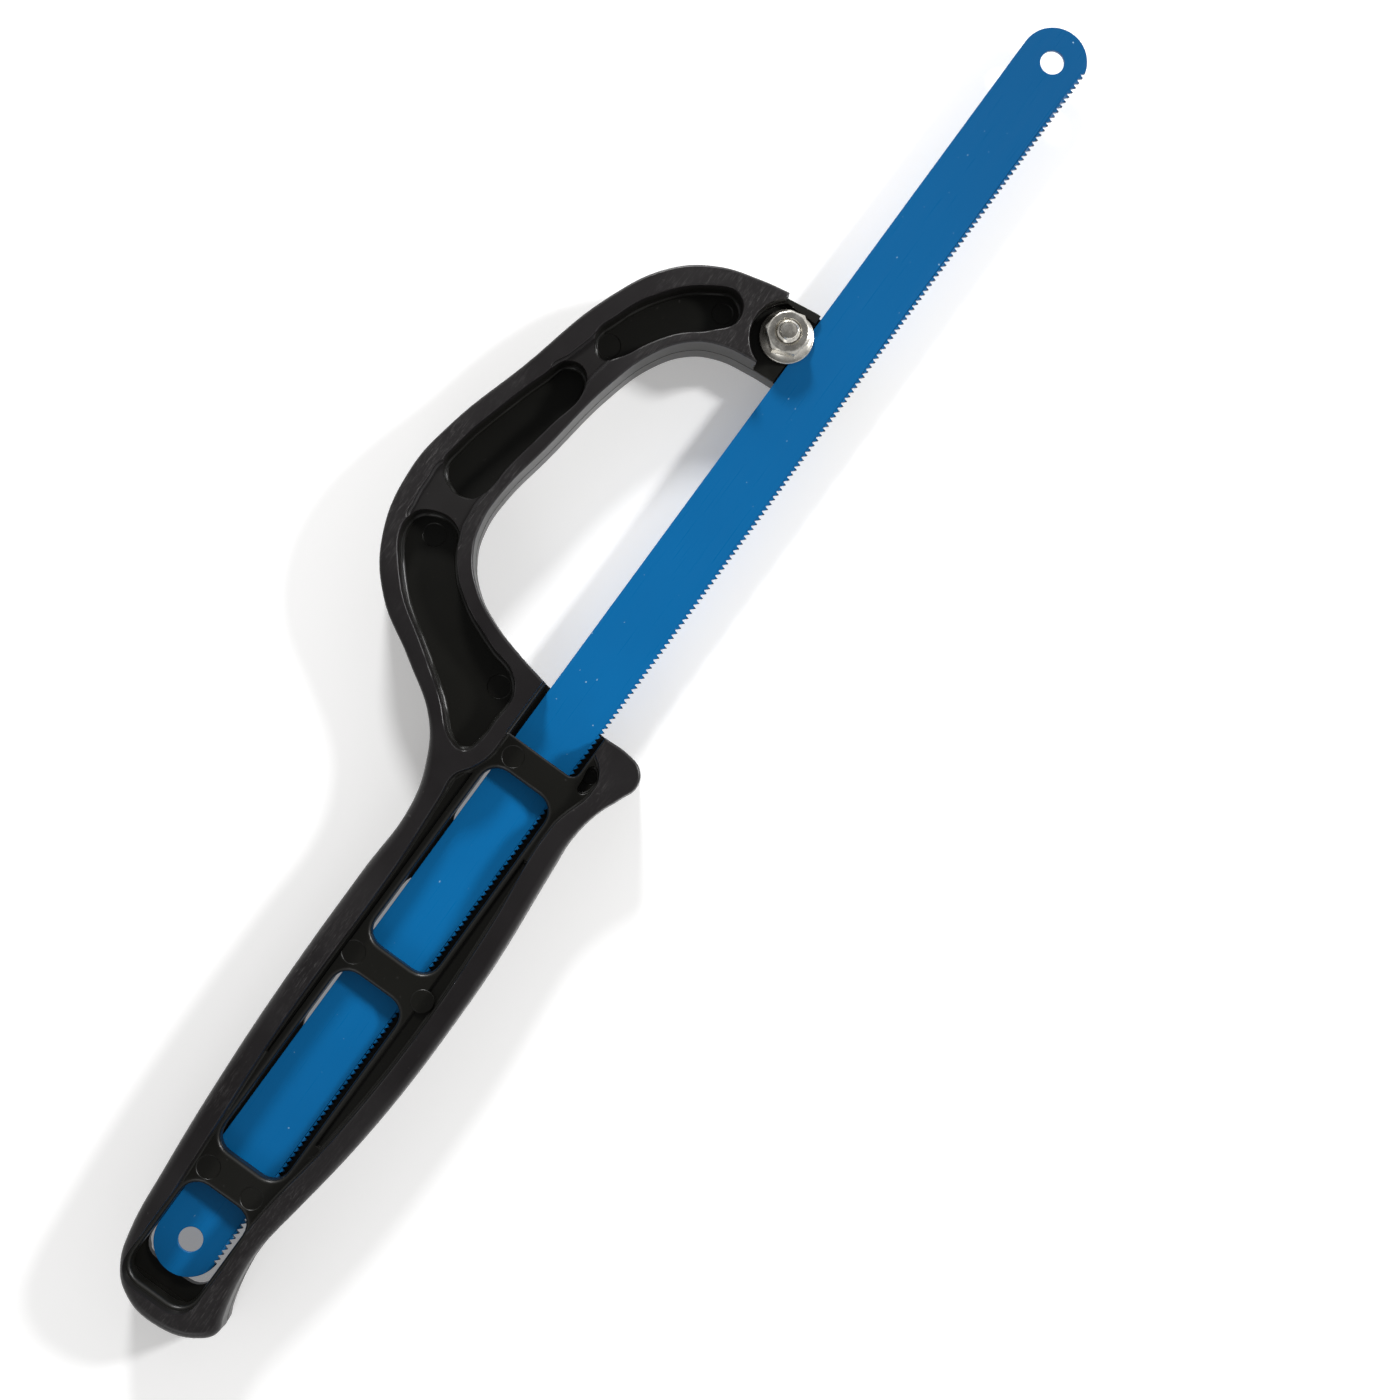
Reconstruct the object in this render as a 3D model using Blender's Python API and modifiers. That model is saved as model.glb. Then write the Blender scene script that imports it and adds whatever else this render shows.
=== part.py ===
"""Small plumber's hacksaw: a one-piece moulded frame that grips a 10-inch blade.

The saw lies on its far side. +X runs along the blade towards its tip, +Y points from
the teeth to the back of the blade, and +Z is up. While it is being built, X and Y are
counted from the rear hole of the blade and Z from the rim that the saw lies on; the
empty that every piece hangs from then moves the middle of the base to the origin.
"""
import math

import bmesh
import bpy
from mathutils import Vector

MM = 0.001

# --- blade -----------------------------------------------------------------------
BLADE_HOLE_SPACING = 250.0 * MM      # centre to centre, the standard 10-inch blade
BLADE_WIDTH = 12.0 * MM
BLADE_THICKNESS = 0.65 * MM
BLADE_HOLE_DIAMETER = 4.2 * MM
BLADE_END_MARGIN = 6.3 * MM          # blade beyond each hole's centre
TEETH_PER_INCH = 24
TOOTH_DEPTH = 0.6 * MM
TOOTH_BACK = 0.82                    # share of a tooth's pitch that its back takes

# --- frame -----------------------------------------------------------------------
FRAME_THICKNESS = 13.0 * MM
GRIP_LENGTH = 123.6 * MM             # butt to the front of the hand grip
BOW_REACH = 78.4 * MM                # front of the hand grip to the tip of the foot
BOW_RISE = 40.7 * MM                 # back of the blade to the top of the bow
EDGE_ROUND = 1.4 * MM                # rounded outer edges of the rims
BAR_THICKNESS = 2.6 * MM             # the bars that cross over and under the blade
TROUGH_WEB = 0.9 * MM                # plastic left beside the slot under the troughs
BOW_WEB = 3.0 * MM                   # web in the middle of the bow
MIDDLE_POCKET_EXTRA = 0.5 * MM       # the middle bow pocket is a little deeper
RIB_DROP = 1.0 * MM                  # bow ribs stay below the rim
CORNER_RADIUS = 3.4 * MM             # corners of the windows

# --- clamp -----------------------------------------------------------------------
BOLT_DIAMETER = 3.9 * MM             # crest diameter of the M4 thread
BOLT_LENGTH = 10.0 * MM
BOLT_END_CHAMFER = 0.6 * MM
HEAD_ACROSS_FLATS = 7.0 * MM
HEAD_HEIGHT = 2.8 * MM
NUT_ACROSS_FLATS = 7.0 * MM
NUT_HEIGHT = 4.65 * MM
FLANGE_DIAMETER = 9.5 * MM
FLANGE_EDGE = 0.8 * MM
BOLT_PROTRUSION = 1.2 * MM           # bolt showing above the nut
BOLT_TO_BLADE = 1.05 * MM            # from the side of the bolt to the back of the blade
FOOT_LIP = 0.9 * MM                  # low wall along the front edge of the foot
FOOT_LIP_HEIGHT = 1.4 * MM

# --- fits ------------------------------------------------------------------------
GAP = 0.3 * MM                       # between faces that touch on the real saw
CHANNEL_CLEARANCE = 0.7 * MM         # below the teeth inside the grip
CHANNEL_TOP = 0.45 * MM              # above the back of the blade inside the grip
WINDOW_EXTRA = 1.0 * MM              # windows are taller than the blade, each side
RECESS_CLEARANCE = 1.2 * MM          # round the flange of the nut

# Sizes at which the outlines below were drawn, in millimetres.
DRAWN_GRIP = 123.6
DRAWN_REAR = 13.4
DRAWN_REACH = 78.4
DRAWN_RISE = 40.7
DRAWN_HALF_BLADE = 6.0

HALF_BLADE = BLADE_WIDTH / 2
MID = FRAME_THICKNESS / 2
SLOT_HALF = BLADE_THICKNESS / 2 + GAP
SLOT_LOW = MID - SLOT_HALF
SLOT_HIGH = MID + SLOT_HALF
OVER = 2.0 * MM                      # how far a cutter runs past a face
CURVE_STEPS = 4                      # straight pieces between two outline points

NUT_X_DRAWN = 182.9
NUT_Y = HALF_BLADE + BOLT_TO_BLADE + BOLT_DIAMETER / 2
NUT_BASE = MID + BLADE_THICKNESS / 2 + GAP
BOLT_END = NUT_BASE + NUT_HEIGHT + BOLT_PROTRUSION
HEAD_TOP = BOLT_END - BOLT_LENGTH

SMOOTH = "AUTO"
CORNER = "VECTOR"

# Outline of the frame, clockwise from the butt, in drawn millimetres.
FRAME_OUTLINE = [
    (-13.4, -3.0, SMOOTH), (-11.8, 3.7, SMOOTH), (-8.4, 7.1, SMOOTH), (-3.5, 8.9, SMOOTH),
    (7.8, 10.4, SMOOTH), (27.4, 12.1, SMOOTH), (47.1, 13.0, SMOOTH), (66.9, 13.2, SMOOTH),
    (80.2, 13.2, SMOOTH), (87.5, 15.4, SMOOTH), (93.6, 19.3, SMOOTH), (99.6, 27.9, SMOOTH),
    (105.7, 37.6, SMOOTH), (113.8, 43.8, SMOOTH), (125.6, 46.7, SMOOTH), (135.8, 45.8, SMOOTH),
    (151.1, 41.8, SMOOTH), (169.1, 37.2, SMOOTH), (179.4, 31.8, SMOOTH), (184.6, 25.4, SMOOTH),
    (187.2, 18.0, SMOOTH), (188.4, 12.4, CORNER), (189.2, 7.0, CORNER), (189.4, -2.6, CORNER),
    (187.6, -4.4, CORNER), (177.0, -4.4, CORNER), (175.2, -2.6, CORNER), (175.2, 6.5, CORNER),
    (174.8, 11.0, SMOOTH), (173.6, 16.9, SMOOTH), (171.0, 21.3, SMOOTH), (165.7, 25.1, SMOOTH),
    (157.8, 27.7, SMOOTH), (142.0, 30.1, SMOOTH), (131.5, 31.6, SMOOTH), (125.5, 31.3, SMOOTH),
    (120.4, 29.3, SMOOTH), (116.0, 25.0, SMOOTH), (113.4, 20.0, SMOOTH), (111.6, 14.0, SMOOTH),
    (110.2, 7.3, CORNER), (108.6, -6.6, CORNER), (108.6, -11.8, SMOOTH), (107.7, -14.5, SMOOTH),
    (105.1, -15.9, SMOOTH), (101.5, -14.8, SMOOTH), (97.5, -13.2, SMOOTH), (91.5, -12.2, SMOOTH),
    (85.5, -12.6, SMOOTH), (66.8, -14.2, SMOOTH), (53.6, -14.5, SMOOTH), (40.4, -14.3, SMOOTH),
    (27.3, -13.3, SMOOTH), (14.2, -11.5, SMOOTH), (9.8, -10.8, SMOOTH), (6.0, -10.4, SMOOTH),
    (1.4, -10.7, SMOOTH), (-3.7, -11.7, SMOOTH), (-6.0, -12.4, SMOOTH), (-8.0, -13.1, SMOOTH),
    (-10.6, -11.5, SMOOTH),
]

# Inner edge of the rim round the grip, open at the front where the blade comes out.
GRIP_RECESS = [
    (-10.3, -2.2, SMOOTH), (-9.6, 1.5, SMOOTH), (-5.4, 5.9, SMOOTH), (2.0, 6.4, SMOOTH),
    (16.4, 7.4, SMOOTH), (39.2, 8.8, SMOOTH), (70.7, 9.0, SMOOTH), (84.3, 9.9, SMOOTH),
    (88.6, 10.2, SMOOTH), (92.4, 7.3, CORNER), (112.6, 7.3, CORNER), (112.6, -6.6, CORNER),
    (104.5, -6.6, CORNER), (103.6, -9.0, SMOOTH), (100.8, -10.2, SMOOTH), (91.5, -8.3, SMOOTH),
    (70.6, -9.9, SMOOTH), (50.0, -10.6, SMOOTH), (27.8, -9.5, SMOOTH), (9.1, -7.1, SMOOTH),
    (-1.4, -7.7, SMOOTH), (-7.7, -7.9, CORNER),
]

# Deeper troughs in the recess: above the windows, below them, and by the finger guard.
TROUGHS = [
    [(24.0, 7.7, CORNER), (39.2, 8.6, SMOOTH), (70.7, 8.8, SMOOTH), (84.3, 9.7, SMOOTH),
     (88.4, 9.9, SMOOTH), (90.8, 8.6, SMOOTH), (91.6, 7.7, CORNER)],
    [(21.0, -8.1, CORNER), (90.0, -8.1, CORNER), (70.6, -9.7, SMOOTH), (50.0, -10.4, SMOOTH),
     (28.0, -9.3, SMOOTH)],
    [(98.2, -8.4, SMOOTH), (100.6, -7.5, SMOOTH), (103.5, -7.7, SMOOTH), (103.2, -9.0, SMOOTH),
     (100.8, -9.9, SMOOTH)],
]

# Pockets of the bow: by the grip, along the top and over the foot.
ROOT_POCKET = [
    (95.6, 9.9, CORNER), (105.0, 9.9, SMOOTH), (108.2, 12.6, SMOOTH), (109.7, 17.7, SMOOTH),
    (114.6, 28.0, SMOOTH), (118.9, 31.9, SMOOTH), (122.4, 34.0, SMOOTH), (122.6, 39.2, SMOOTH),
    (119.4, 42.1, SMOOTH), (110.3, 37.3, SMOOTH), (102.2, 26.4, SMOOTH), (97.8, 19.9, SMOOTH),
    (92.6, 13.2, SMOOTH), (93.0, 11.0, SMOOTH),
]
TOP_POCKET = [
    (127.2, 36.0, SMOOTH), (129.0, 34.4, SMOOTH), (136.4, 33.4, SMOOTH), (145.8, 31.9, SMOOTH),
    (153.6, 30.9, SMOOTH), (157.0, 33.0, SMOOTH), (156.3, 36.3, SMOOTH), (152.1, 38.0, SMOOTH),
    (142.7, 40.8, SMOOTH), (134.0, 42.7, SMOOTH), (129.9, 42.8, SMOOTH), (127.2, 39.9, SMOOTH),
]
FOOT_POCKET = [
    (159.9, 31.9, SMOOTH), (162.2, 29.3, SMOOTH), (166.6, 27.0, SMOOTH), (171.1, 24.0, SMOOTH),
    (175.0, 19.6, SMOOTH), (179.3, 16.9, SMOOTH), (182.8, 19.4, SMOOTH), (181.2, 24.2, SMOOTH),
    (174.0, 31.0, SMOOTH), (167.9, 33.9, SMOOTH), (162.5, 34.9, SMOOTH),
]
# Ribs between the pockets: the shallow dip over each, from rim to rim.
RIBS = [
    [(118.4, 42.0), (121.8, 43.0), (125.6, 43.4), (130.6, 42.9), (131.4, 34.2), (127.2, 33.7),
     (123.2, 33.2), (119.6, 32.3)],
    [(153.6, 37.7), (157.4, 36.7), (161.6, 35.5), (164.0, 34.8), (163.6, 29.4), (160.9, 30.1),
     (156.2, 30.9), (153.0, 31.4)],
]

# Windows over and under the blade: rear edge and front edge, in drawn millimetres.
NEAR_WINDOWS = [(-9.6, 9.4), (15.8, 52.1), (58.0, 94.2)]
FAR_WINDOWS = [(-6.0, 29.8), (37.9, 71.6), (80.6, 97.0)]
MOUTH_REAR = 99.7                    # front edge of the last bar over the blade
FOOT_STEP = 9.9                      # height at which the near half of the foot ends


def drawn(x, y):
    """Place a point of the drawing, stretched to the sizes at the top of the file."""
    if x <= DRAWN_GRIP - DRAWN_REAR:
        place_x = x * GRIP_LENGTH / DRAWN_GRIP
    else:
        mouth = (DRAWN_GRIP - DRAWN_REAR) * GRIP_LENGTH / DRAWN_GRIP
        place_x = mouth + (x - DRAWN_GRIP + DRAWN_REAR) * BOW_REACH / DRAWN_REACH
    if abs(y) <= DRAWN_HALF_BLADE:
        place_y = y * HALF_BLADE / DRAWN_HALF_BLADE
    elif y > 0:
        place_y = HALF_BLADE + (y - DRAWN_HALF_BLADE) * BOW_RISE / DRAWN_RISE
    else:
        place_y = -HALF_BLADE + (y + DRAWN_HALF_BLADE) * MM
    return place_x, place_y


def arc(centre, radius, start, end, steps):
    """Points of an arc, both ends included, angles in degrees."""
    points = []
    for step in range(steps + 1):
        angle = math.radians(start + (end - start) * step / steps)
        points.append((centre[0] + radius * math.cos(angle), centre[1] + radius * math.sin(angle)))
    return points


def rounded_rectangle(x_low, x_high, y_low, y_high, radius, steps=5):
    """Corner points of a rectangle with round corners."""
    radius = min(radius, (x_high - x_low) / 2.1, (y_high - y_low) / 2.1)
    corners = [
        (x_high - radius, y_high - radius, 0), (x_low + radius, y_high - radius, 90),
        (x_low + radius, y_low + radius, 180), (x_high - radius, y_low + radius, 270),
    ]
    points = []
    for x, y, start in corners:
        points.extend(arc((x, y), radius, start, start + 90, steps))
    return points


def material(name, colour, roughness, metallic):
    """A Principled material."""
    made = bpy.data.materials.new(name)
    made.use_nodes = True
    made.diffuse_color = (*colour, 1.0)
    shader = made.node_tree.nodes["Principled BSDF"]
    shader.inputs["Base Color"].default_value = (*colour, 1.0)
    shader.inputs["Roughness"].default_value = roughness
    shader.inputs["Metallic"].default_value = metallic
    return made


def collection(name):
    """A new collection linked to the scene."""
    made = bpy.data.collections.new(name)
    bpy.context.scene.collection.children.link(made)
    return made


def curve_to_mesh(curve_object, group):
    """Turn a filled curve into a closed mesh object and drop the curve."""
    bpy.context.view_layer.update()
    graph = bpy.context.evaluated_depsgraph_get()
    mesh = bpy.data.meshes.new_from_object(curve_object.evaluated_get(graph))
    mesh.materials.clear()
    shape = bmesh.new()
    shape.from_mesh(mesh)
    bmesh.ops.remove_doubles(shape, verts=shape.verts, dist=0.00001)
    shape.to_mesh(mesh)
    shape.free()
    made = bpy.data.objects.new(curve_object.name + "_solid", mesh)
    made.matrix_world = curve_object.matrix_world
    group.objects.link(made)
    bpy.data.objects.remove(curve_object)
    return made


def flat_curve(name, loops, z_low, z_high, group, edge=0.0):
    """Fill closed loops of points and give them thickness.

    Each loop is a list of (x, y) points, or of (x, y, handle) points for a smooth curve.
    """
    data = bpy.data.curves.new(name, "CURVE")
    data.dimensions = "2D"
    data.fill_mode = "BOTH"
    data.extrude = (z_high - z_low) / 2 - edge
    data.bevel_depth = edge
    data.offset = -edge
    data.bevel_resolution = 1
    data.resolution_u = CURVE_STEPS
    data.render_resolution_u = CURVE_STEPS
    for loop in loops:
        smooth = len(loop[0]) == 3
        spline = data.splines.new("BEZIER" if smooth else "POLY")
        points = spline.bezier_points if smooth else spline.points
        points.add(len(loop) - 1)
        for point, values in zip(points, loop):
            if smooth:
                point.co = (values[0], values[1], 0.0)
                point.handle_left_type = values[2]
                point.handle_right_type = values[2]
            else:
                point.co = (values[0], values[1], 0.0, 1.0)
        spline.use_cyclic_u = True
    made = bpy.data.objects.new(name, data)
    made.location.z = (z_low + z_high) / 2
    group.objects.link(made)
    return curve_to_mesh(made, group)


def drawn_loop(points):
    """A loop of the drawing, placed."""
    return [(*drawn(point[0], point[1]), *point[2:]) for point in points]


def as_cutter(made):
    """Mark an object as a cutter."""
    made.hide_render = True
    made.display_type = "WIRE"
    return made


def boolean(target, tool, operation="DIFFERENCE"):
    """Add an exact boolean to a target."""
    modifier = target.modifiers.new(tool.name, "BOOLEAN")
    modifier.operation = operation
    modifier.solver = "EXACT"
    modifier.object = tool


def apply_modifiers(made):
    """Replace an object's mesh by its evaluated one."""
    bpy.context.view_layer.update()
    graph = bpy.context.evaluated_depsgraph_get()
    mesh = bpy.data.meshes.new_from_object(made.evaluated_get(graph))
    made.modifiers.clear()
    made.data = mesh


def box(name, low, high, group):
    """A box between two corners."""
    shape = bmesh.new()
    bmesh.ops.create_cube(shape, size=1.0)
    size = [high[axis] - low[axis] for axis in range(3)]
    middle = [(high[axis] + low[axis]) / 2 for axis in range(3)]
    bmesh.ops.scale(shape, vec=size, verts=shape.verts)
    bmesh.ops.translate(shape, vec=middle, verts=shape.verts)
    return mesh_object(name, shape, group)


def mesh_object(name, shape, group):
    """An object from a bmesh, which is freed."""
    mesh = bpy.data.meshes.new(name)
    shape.to_mesh(mesh)
    shape.free()
    made = bpy.data.objects.new(name, mesh)
    group.objects.link(made)
    return made


def prism(name, centre, radius_low, radius_high, z_low, z_high, sides, group, turn=0.0):
    """A cylinder, cone or hexagon that stands on Z."""
    shape = bmesh.new()
    bmesh.ops.create_cone(
        shape, cap_ends=True, segments=sides, radius1=radius_low, radius2=radius_high,
        depth=z_high - z_low,
    )
    made = mesh_object(name, shape, group)
    made.location = (centre[0], centre[1], (z_low + z_high) / 2)
    made.rotation_euler.z = math.radians(turn)
    return made


def smooth_shading(made, angle=30.0):
    """Shade round faces smooth and keep the edges sharp."""
    made.data.shade_smooth()
    made.data.set_sharp_from_angle(angle=math.radians(angle))


def grip_cutters(cutters, near):
    """Cutters of the recess, troughs and windows on one side of the grip."""
    side = "near" if near else "far"
    way = 1 if near else -1

    def span(inner, outer):
        """Low and high Z between two distances from the middle of the frame."""
        return sorted((MID + way * inner, MID + way * outer))

    outside = MID + OVER
    bar_face = SLOT_HALF + BAR_THICKNESS
    made = [flat_curve(
        side + "_recess", [drawn_loop(GRIP_RECESS)], *span(bar_face, outside), cutters)]
    for index, points in enumerate(TROUGHS):
        made.append(flat_curve(
            "%s_trough_%d" % (side, index + 1), [drawn_loop(points)],
            *span(SLOT_HALF + TROUGH_WEB, outside), cutters,
        ))
    window_y = HALF_BLADE + WINDOW_EXTRA
    for index, (rear, front) in enumerate(NEAR_WINDOWS if near else FAR_WINDOWS):
        y_high = HALF_BLADE + CHANNEL_TOP if rear < 0 else window_y
        loop = rounded_rectangle(
            drawn(rear, 0)[0], drawn(front, 0)[0], -window_y, y_high, CORNER_RADIUS,
        )
        made.append(flat_curve(
            "%s_window_%d" % (side, index + 1), [loop], *span(-SLOT_HALF / 2, outside), cutters,
        ))
    return made


def mouth_cutter(cutters):
    """Opens the near side in front of the last bar, down to the bed of the blade."""
    rear = drawn(MOUTH_REAR, 0)[0]
    front = drawn(118.0, 0)[0]
    low = drawn(0, -6.6)[1]
    high = drawn(0, 7.3)[1]
    radius = 1.6 * MM
    loop = [(front, low), (front, high), (rear, high)]
    loop.extend(arc((rear + radius, low + radius), radius, 180, 270, 4))
    return flat_curve("mouth", [loop], SLOT_LOW, FRAME_THICKNESS + OVER, cutters)


def channel_cutter(cutters):
    """The slot that the blade lies in, from the butt to the mouth."""
    reach = HALF_BLADE + CHANNEL_CLEARANCE
    return box(
        "blade_channel",
        (drawn(-9.0, 0)[0], -reach, SLOT_LOW),
        (drawn(118.0, 0)[0], HALF_BLADE + CHANNEL_TOP, SLOT_HIGH),
        cutters,
    )


def bow_cutters(cutters):
    """Pockets and rib dips on both sides of the bow."""
    made = []
    pockets = [(ROOT_POCKET, 0.0), (TOP_POCKET, MIDDLE_POCKET_EXTRA), (FOOT_POCKET, 0.0)]
    for index, (points, extra) in enumerate(pockets):
        depth = BOW_WEB / 2 - extra
        loops = [drawn_loop(points)]
        made.append(flat_curve(
            "near_pocket_%d" % index, loops, MID + depth, FRAME_THICKNESS + OVER, cutters))
        made.append(flat_curve("far_pocket_%d" % index, loops, -OVER, MID - depth, cutters))
    for index, points in enumerate(RIBS):
        loops = [drawn_loop(points)]
        top = FRAME_THICKNESS - RIB_DROP
        made.append(flat_curve(
            "near_rib_%d" % index, loops, top, FRAME_THICKNESS + OVER, cutters))
        made.append(flat_curve("far_rib_%d" % index, loops, -OVER, RIB_DROP, cutters))
    return made


def foot_cutters(cutters):
    """Opens the near half of the foot, beds the blade and seats the bolt."""
    nut_x = drawn(NUT_X_DRAWN, 0)[0]
    radius = FLANGE_DIAMETER / 2 + RECESS_CLEARANCE
    rear = drawn(172.0, 0)[0]
    front = drawn(192.0, 0)[0]
    below = drawn(0, -8.0)[1]
    step = max(drawn(0, FOOT_STEP)[1], NUT_Y + 0.9 * MM)
    floor = MID + BLADE_THICKNESS / 2
    lip_top = floor + FOOT_LIP_HEIGHT
    rise = math.degrees(math.asin((step - NUT_Y) / radius))
    top_arc = arc((nut_x, NUT_Y), radius, 180 - rise, 35, 14)
    past = NUT_Y + radius * math.sin(math.radians(35))
    upper = [(rear, below), (rear, step), *top_arc, (front, past), (front, below)]
    made = [flat_curve("foot_opening", [upper], lip_top, FRAME_THICKNESS + OVER, cutters)]
    lip = drawn(188.7, 0)[0] - FOOT_LIP
    arc_end = math.degrees(math.acos((lip - nut_x) / radius))
    inner_arc = arc((nut_x, NUT_Y), radius, 180 - rise, arc_end, 14)
    lower = [(rear, below), (rear, step), *inner_arc, (lip, below)]
    made.append(flat_curve("foot_floor", [lower], floor, lip_top + OVER, cutters))
    bed = box(
        "foot_bed",
        (rear, below, SLOT_LOW),
        (front, HALF_BLADE + GAP, FRAME_THICKNESS + OVER),
        cutters,
    )
    made.append(bed)
    made.append(prism(
        "bolt_hole", (nut_x, NUT_Y), BOLT_DIAMETER / 2 + GAP, BOLT_DIAMETER / 2 + GAP,
        -OVER, FRAME_THICKNESS, 32, cutters,
    ))
    across = (HEAD_ACROSS_FLATS / 2 + GAP) / math.cos(math.radians(30))
    made.append(prism(
        "bolt_head_pocket", (nut_x, NUT_Y), across, across, -OVER, HEAD_TOP + GAP, 6, cutters,
    ))
    return made


def frame(parts, cutters):
    """The one-piece moulding: grip, finger guard, bow and clamp foot."""
    body = flat_curve(
        "frame_blank", [drawn_loop(FRAME_OUTLINE)], 0.0, FRAME_THICKNESS, parts, EDGE_ROUND,
    )
    body.name = "frame"
    tools = [channel_cutter(cutters), mouth_cutter(cutters)]
    tools.extend(grip_cutters(cutters, near=True))
    tools.extend(grip_cutters(cutters, near=False))
    tools.extend(bow_cutters(cutters))
    tools.extend(foot_cutters(cutters))
    for tool in tools:
        boolean(body, as_cutter(tool))
    body.data.materials.append(material("frame_plastic", (0.022, 0.020, 0.020), 0.42, 0.0))
    return body


def blade_outline():
    """The edge of the blade: two round ends, a straight back and a row of teeth."""
    radius = HALF_BLADE
    rear = -BLADE_END_MARGIN + radius
    tip = BLADE_HOLE_SPACING + BLADE_END_MARGIN - radius
    points = arc((rear, 0.0), radius, 262, 90, 14)
    points.extend(arc((tip, 0.0), radius, 90, -82, 14))
    pitch = 25.4 * MM / TEETH_PER_INCH
    first = tip - 0.4 * MM
    count = int((first - rear) / pitch)
    for tooth in range(count):
        x = first - tooth * pitch
        points.append((x, -HALF_BLADE))
        points.append((x - TOOTH_BACK * pitch, -HALF_BLADE + TOOTH_DEPTH))
    return points


def blade(parts):
    """The 10-inch blade with its two holes."""
    loops = [blade_outline()]
    for x in (0.0, BLADE_HOLE_SPACING):
        loops.append(arc((x, 0.0), BLADE_HOLE_DIAMETER / 2, 0, 345, 23))
    low = MID - BLADE_THICKNESS / 2
    made = flat_curve("blade_blank", loops, low, low + BLADE_THICKNESS, parts)
    made.name = "blade"
    made.data.materials.append(material("blade_enamel", (0.010, 0.150, 0.420), 0.38, 0.0))
    return made


def clamp_bolt(parts, cutters, steel):
    """Hexagon-head M4 bolt that stands up through the foot."""
    nut_x = drawn(NUT_X_DRAWN, 0)[0]
    across = HEAD_ACROSS_FLATS / 2 / math.cos(math.radians(30))
    made = prism(
        "clamp_bolt", (nut_x, NUT_Y), across, across, HEAD_TOP - HEAD_HEIGHT, HEAD_TOP, 6, parts,
    )
    radius = BOLT_DIAMETER / 2
    shank = prism(
        "bolt_shank", (nut_x, NUT_Y), radius, radius, HEAD_TOP - HEAD_HEIGHT / 2,
        BOLT_END - BOLT_END_CHAMFER, 32, cutters,
    )
    end = prism(
        "bolt_end", (nut_x, NUT_Y), radius, radius - BOLT_END_CHAMFER,
        BOLT_END - BOLT_END_CHAMFER, BOLT_END, 32, cutters,
    )
    for tool in (shank, end):
        boolean(made, as_cutter(tool), "UNION")
    made.data.materials.append(steel)
    return made


def turned(name, profile, centre, sides, parts):
    """A closed solid turned about Z from (radius, height) points, top to bottom."""
    shape = bmesh.new()
    points = [shape.verts.new((radius, 0.0, height)) for radius, height in profile]
    for first, second in zip(points, points[1:] + points[:1]):
        shape.edges.new((first, second))
    made = mesh_object(name, shape, parts)
    made.location = (centre[0], centre[1], 0.0)
    screw = made.modifiers.new("turn", "SCREW")
    screw.steps = sides
    screw.render_steps = sides
    screw.use_merge_vertices = True
    screw.merge_threshold = 0.00001
    return made


def flange_nut(parts, cutters, steel):
    """M4 nut with its own flange; the flange presses the blade on the foot."""
    nut_x = drawn(NUT_X_DRAWN, 0)[0]
    bore = BOLT_DIAMETER / 2 + GAP
    rim = FLANGE_DIAMETER / 2
    waist = NUT_ACROSS_FLATS / 2 - 0.1 * MM
    base = NUT_BASE
    profile = [
        (waist, base + 2.1 * MM), (rim, base + FLANGE_EDGE), (rim, base), (bore / 2, base),
        (bore / 2, base + 2.1 * MM),
    ]
    made = turned("flange_nut", profile, (nut_x, NUT_Y), 32, parts)
    across = NUT_ACROSS_FLATS / 2 / math.cos(math.radians(30))
    hexagon = prism(
        "nut_hexagon", (nut_x, NUT_Y), across, across, base + 0.5 * MM, base + NUT_HEIGHT, 6,
        cutters, turn=21.0,
    )
    hole = prism(
        "nut_hole", (nut_x, NUT_Y), bore, bore, base - OVER, base + NUT_HEIGHT + OVER, 32, cutters,
    )
    boolean(made, as_cutter(hexagon), "UNION")
    boolean(made, as_cutter(hole))
    made.data.materials.append(steel)
    return made


def place_on_floor(pieces, origin):
    """Move the empty so that the middle of the base is the world's origin."""
    bpy.context.view_layer.update()
    graph = bpy.context.evaluated_depsgraph_get()
    corners = []
    for piece in pieces:
        ready = piece.evaluated_get(graph)
        corners.extend(ready.matrix_world @ Vector(corner) for corner in ready.bound_box)
    for axis in range(3):
        low = min(corner[axis] for corner in corners)
        high = max(corner[axis] for corner in corners)
        origin.location[axis] = -low if axis == 2 else -(low + high) / 2


def main():
    """Build the saw."""
    for old in list(bpy.data.objects):
        bpy.data.objects.remove(old)
    parts = collection("hacksaw")
    cutters = collection("cutters")
    origin = bpy.data.objects.new("saw_origin", None)
    parts.objects.link(origin)
    steel = material("zinc_plated_steel", (0.62, 0.60, 0.57), 0.28, 1.0)
    pieces = [
        frame(parts, cutters),
        blade(parts),
        clamp_bolt(parts, cutters, steel),
        flange_nut(parts, cutters, steel),
    ]
    for piece in pieces:
        apply_modifiers(piece)
        piece.parent = origin
        smooth_shading(piece)
    for tool in cutters.objects:
        tool.parent = origin
    place_on_floor(pieces, origin)


main()
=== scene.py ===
"""Looks of a small plumber's hacksaw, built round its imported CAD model.

The saw has four pieces: a one-piece plastic frame, a blue ten-inch blade, and the bolt and
flange nut that clamp the blade at the foot of the bow. Every piece is modelled here in finer
detail than in the CAD model, in the same places, and stands for its CAD node.

Drawings are in millimetres. X and Y count from the rear hole of the blade, with +X towards
the blade's tip and +Y towards the bow, and heights count from the middle of the frame.
"""
import logging
import math
from collections.abc import Callable, Iterable, Sequence
from dataclasses import dataclass, field
from enum import Enum

import bpy
from mathutils import Matrix, Vector


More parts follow.
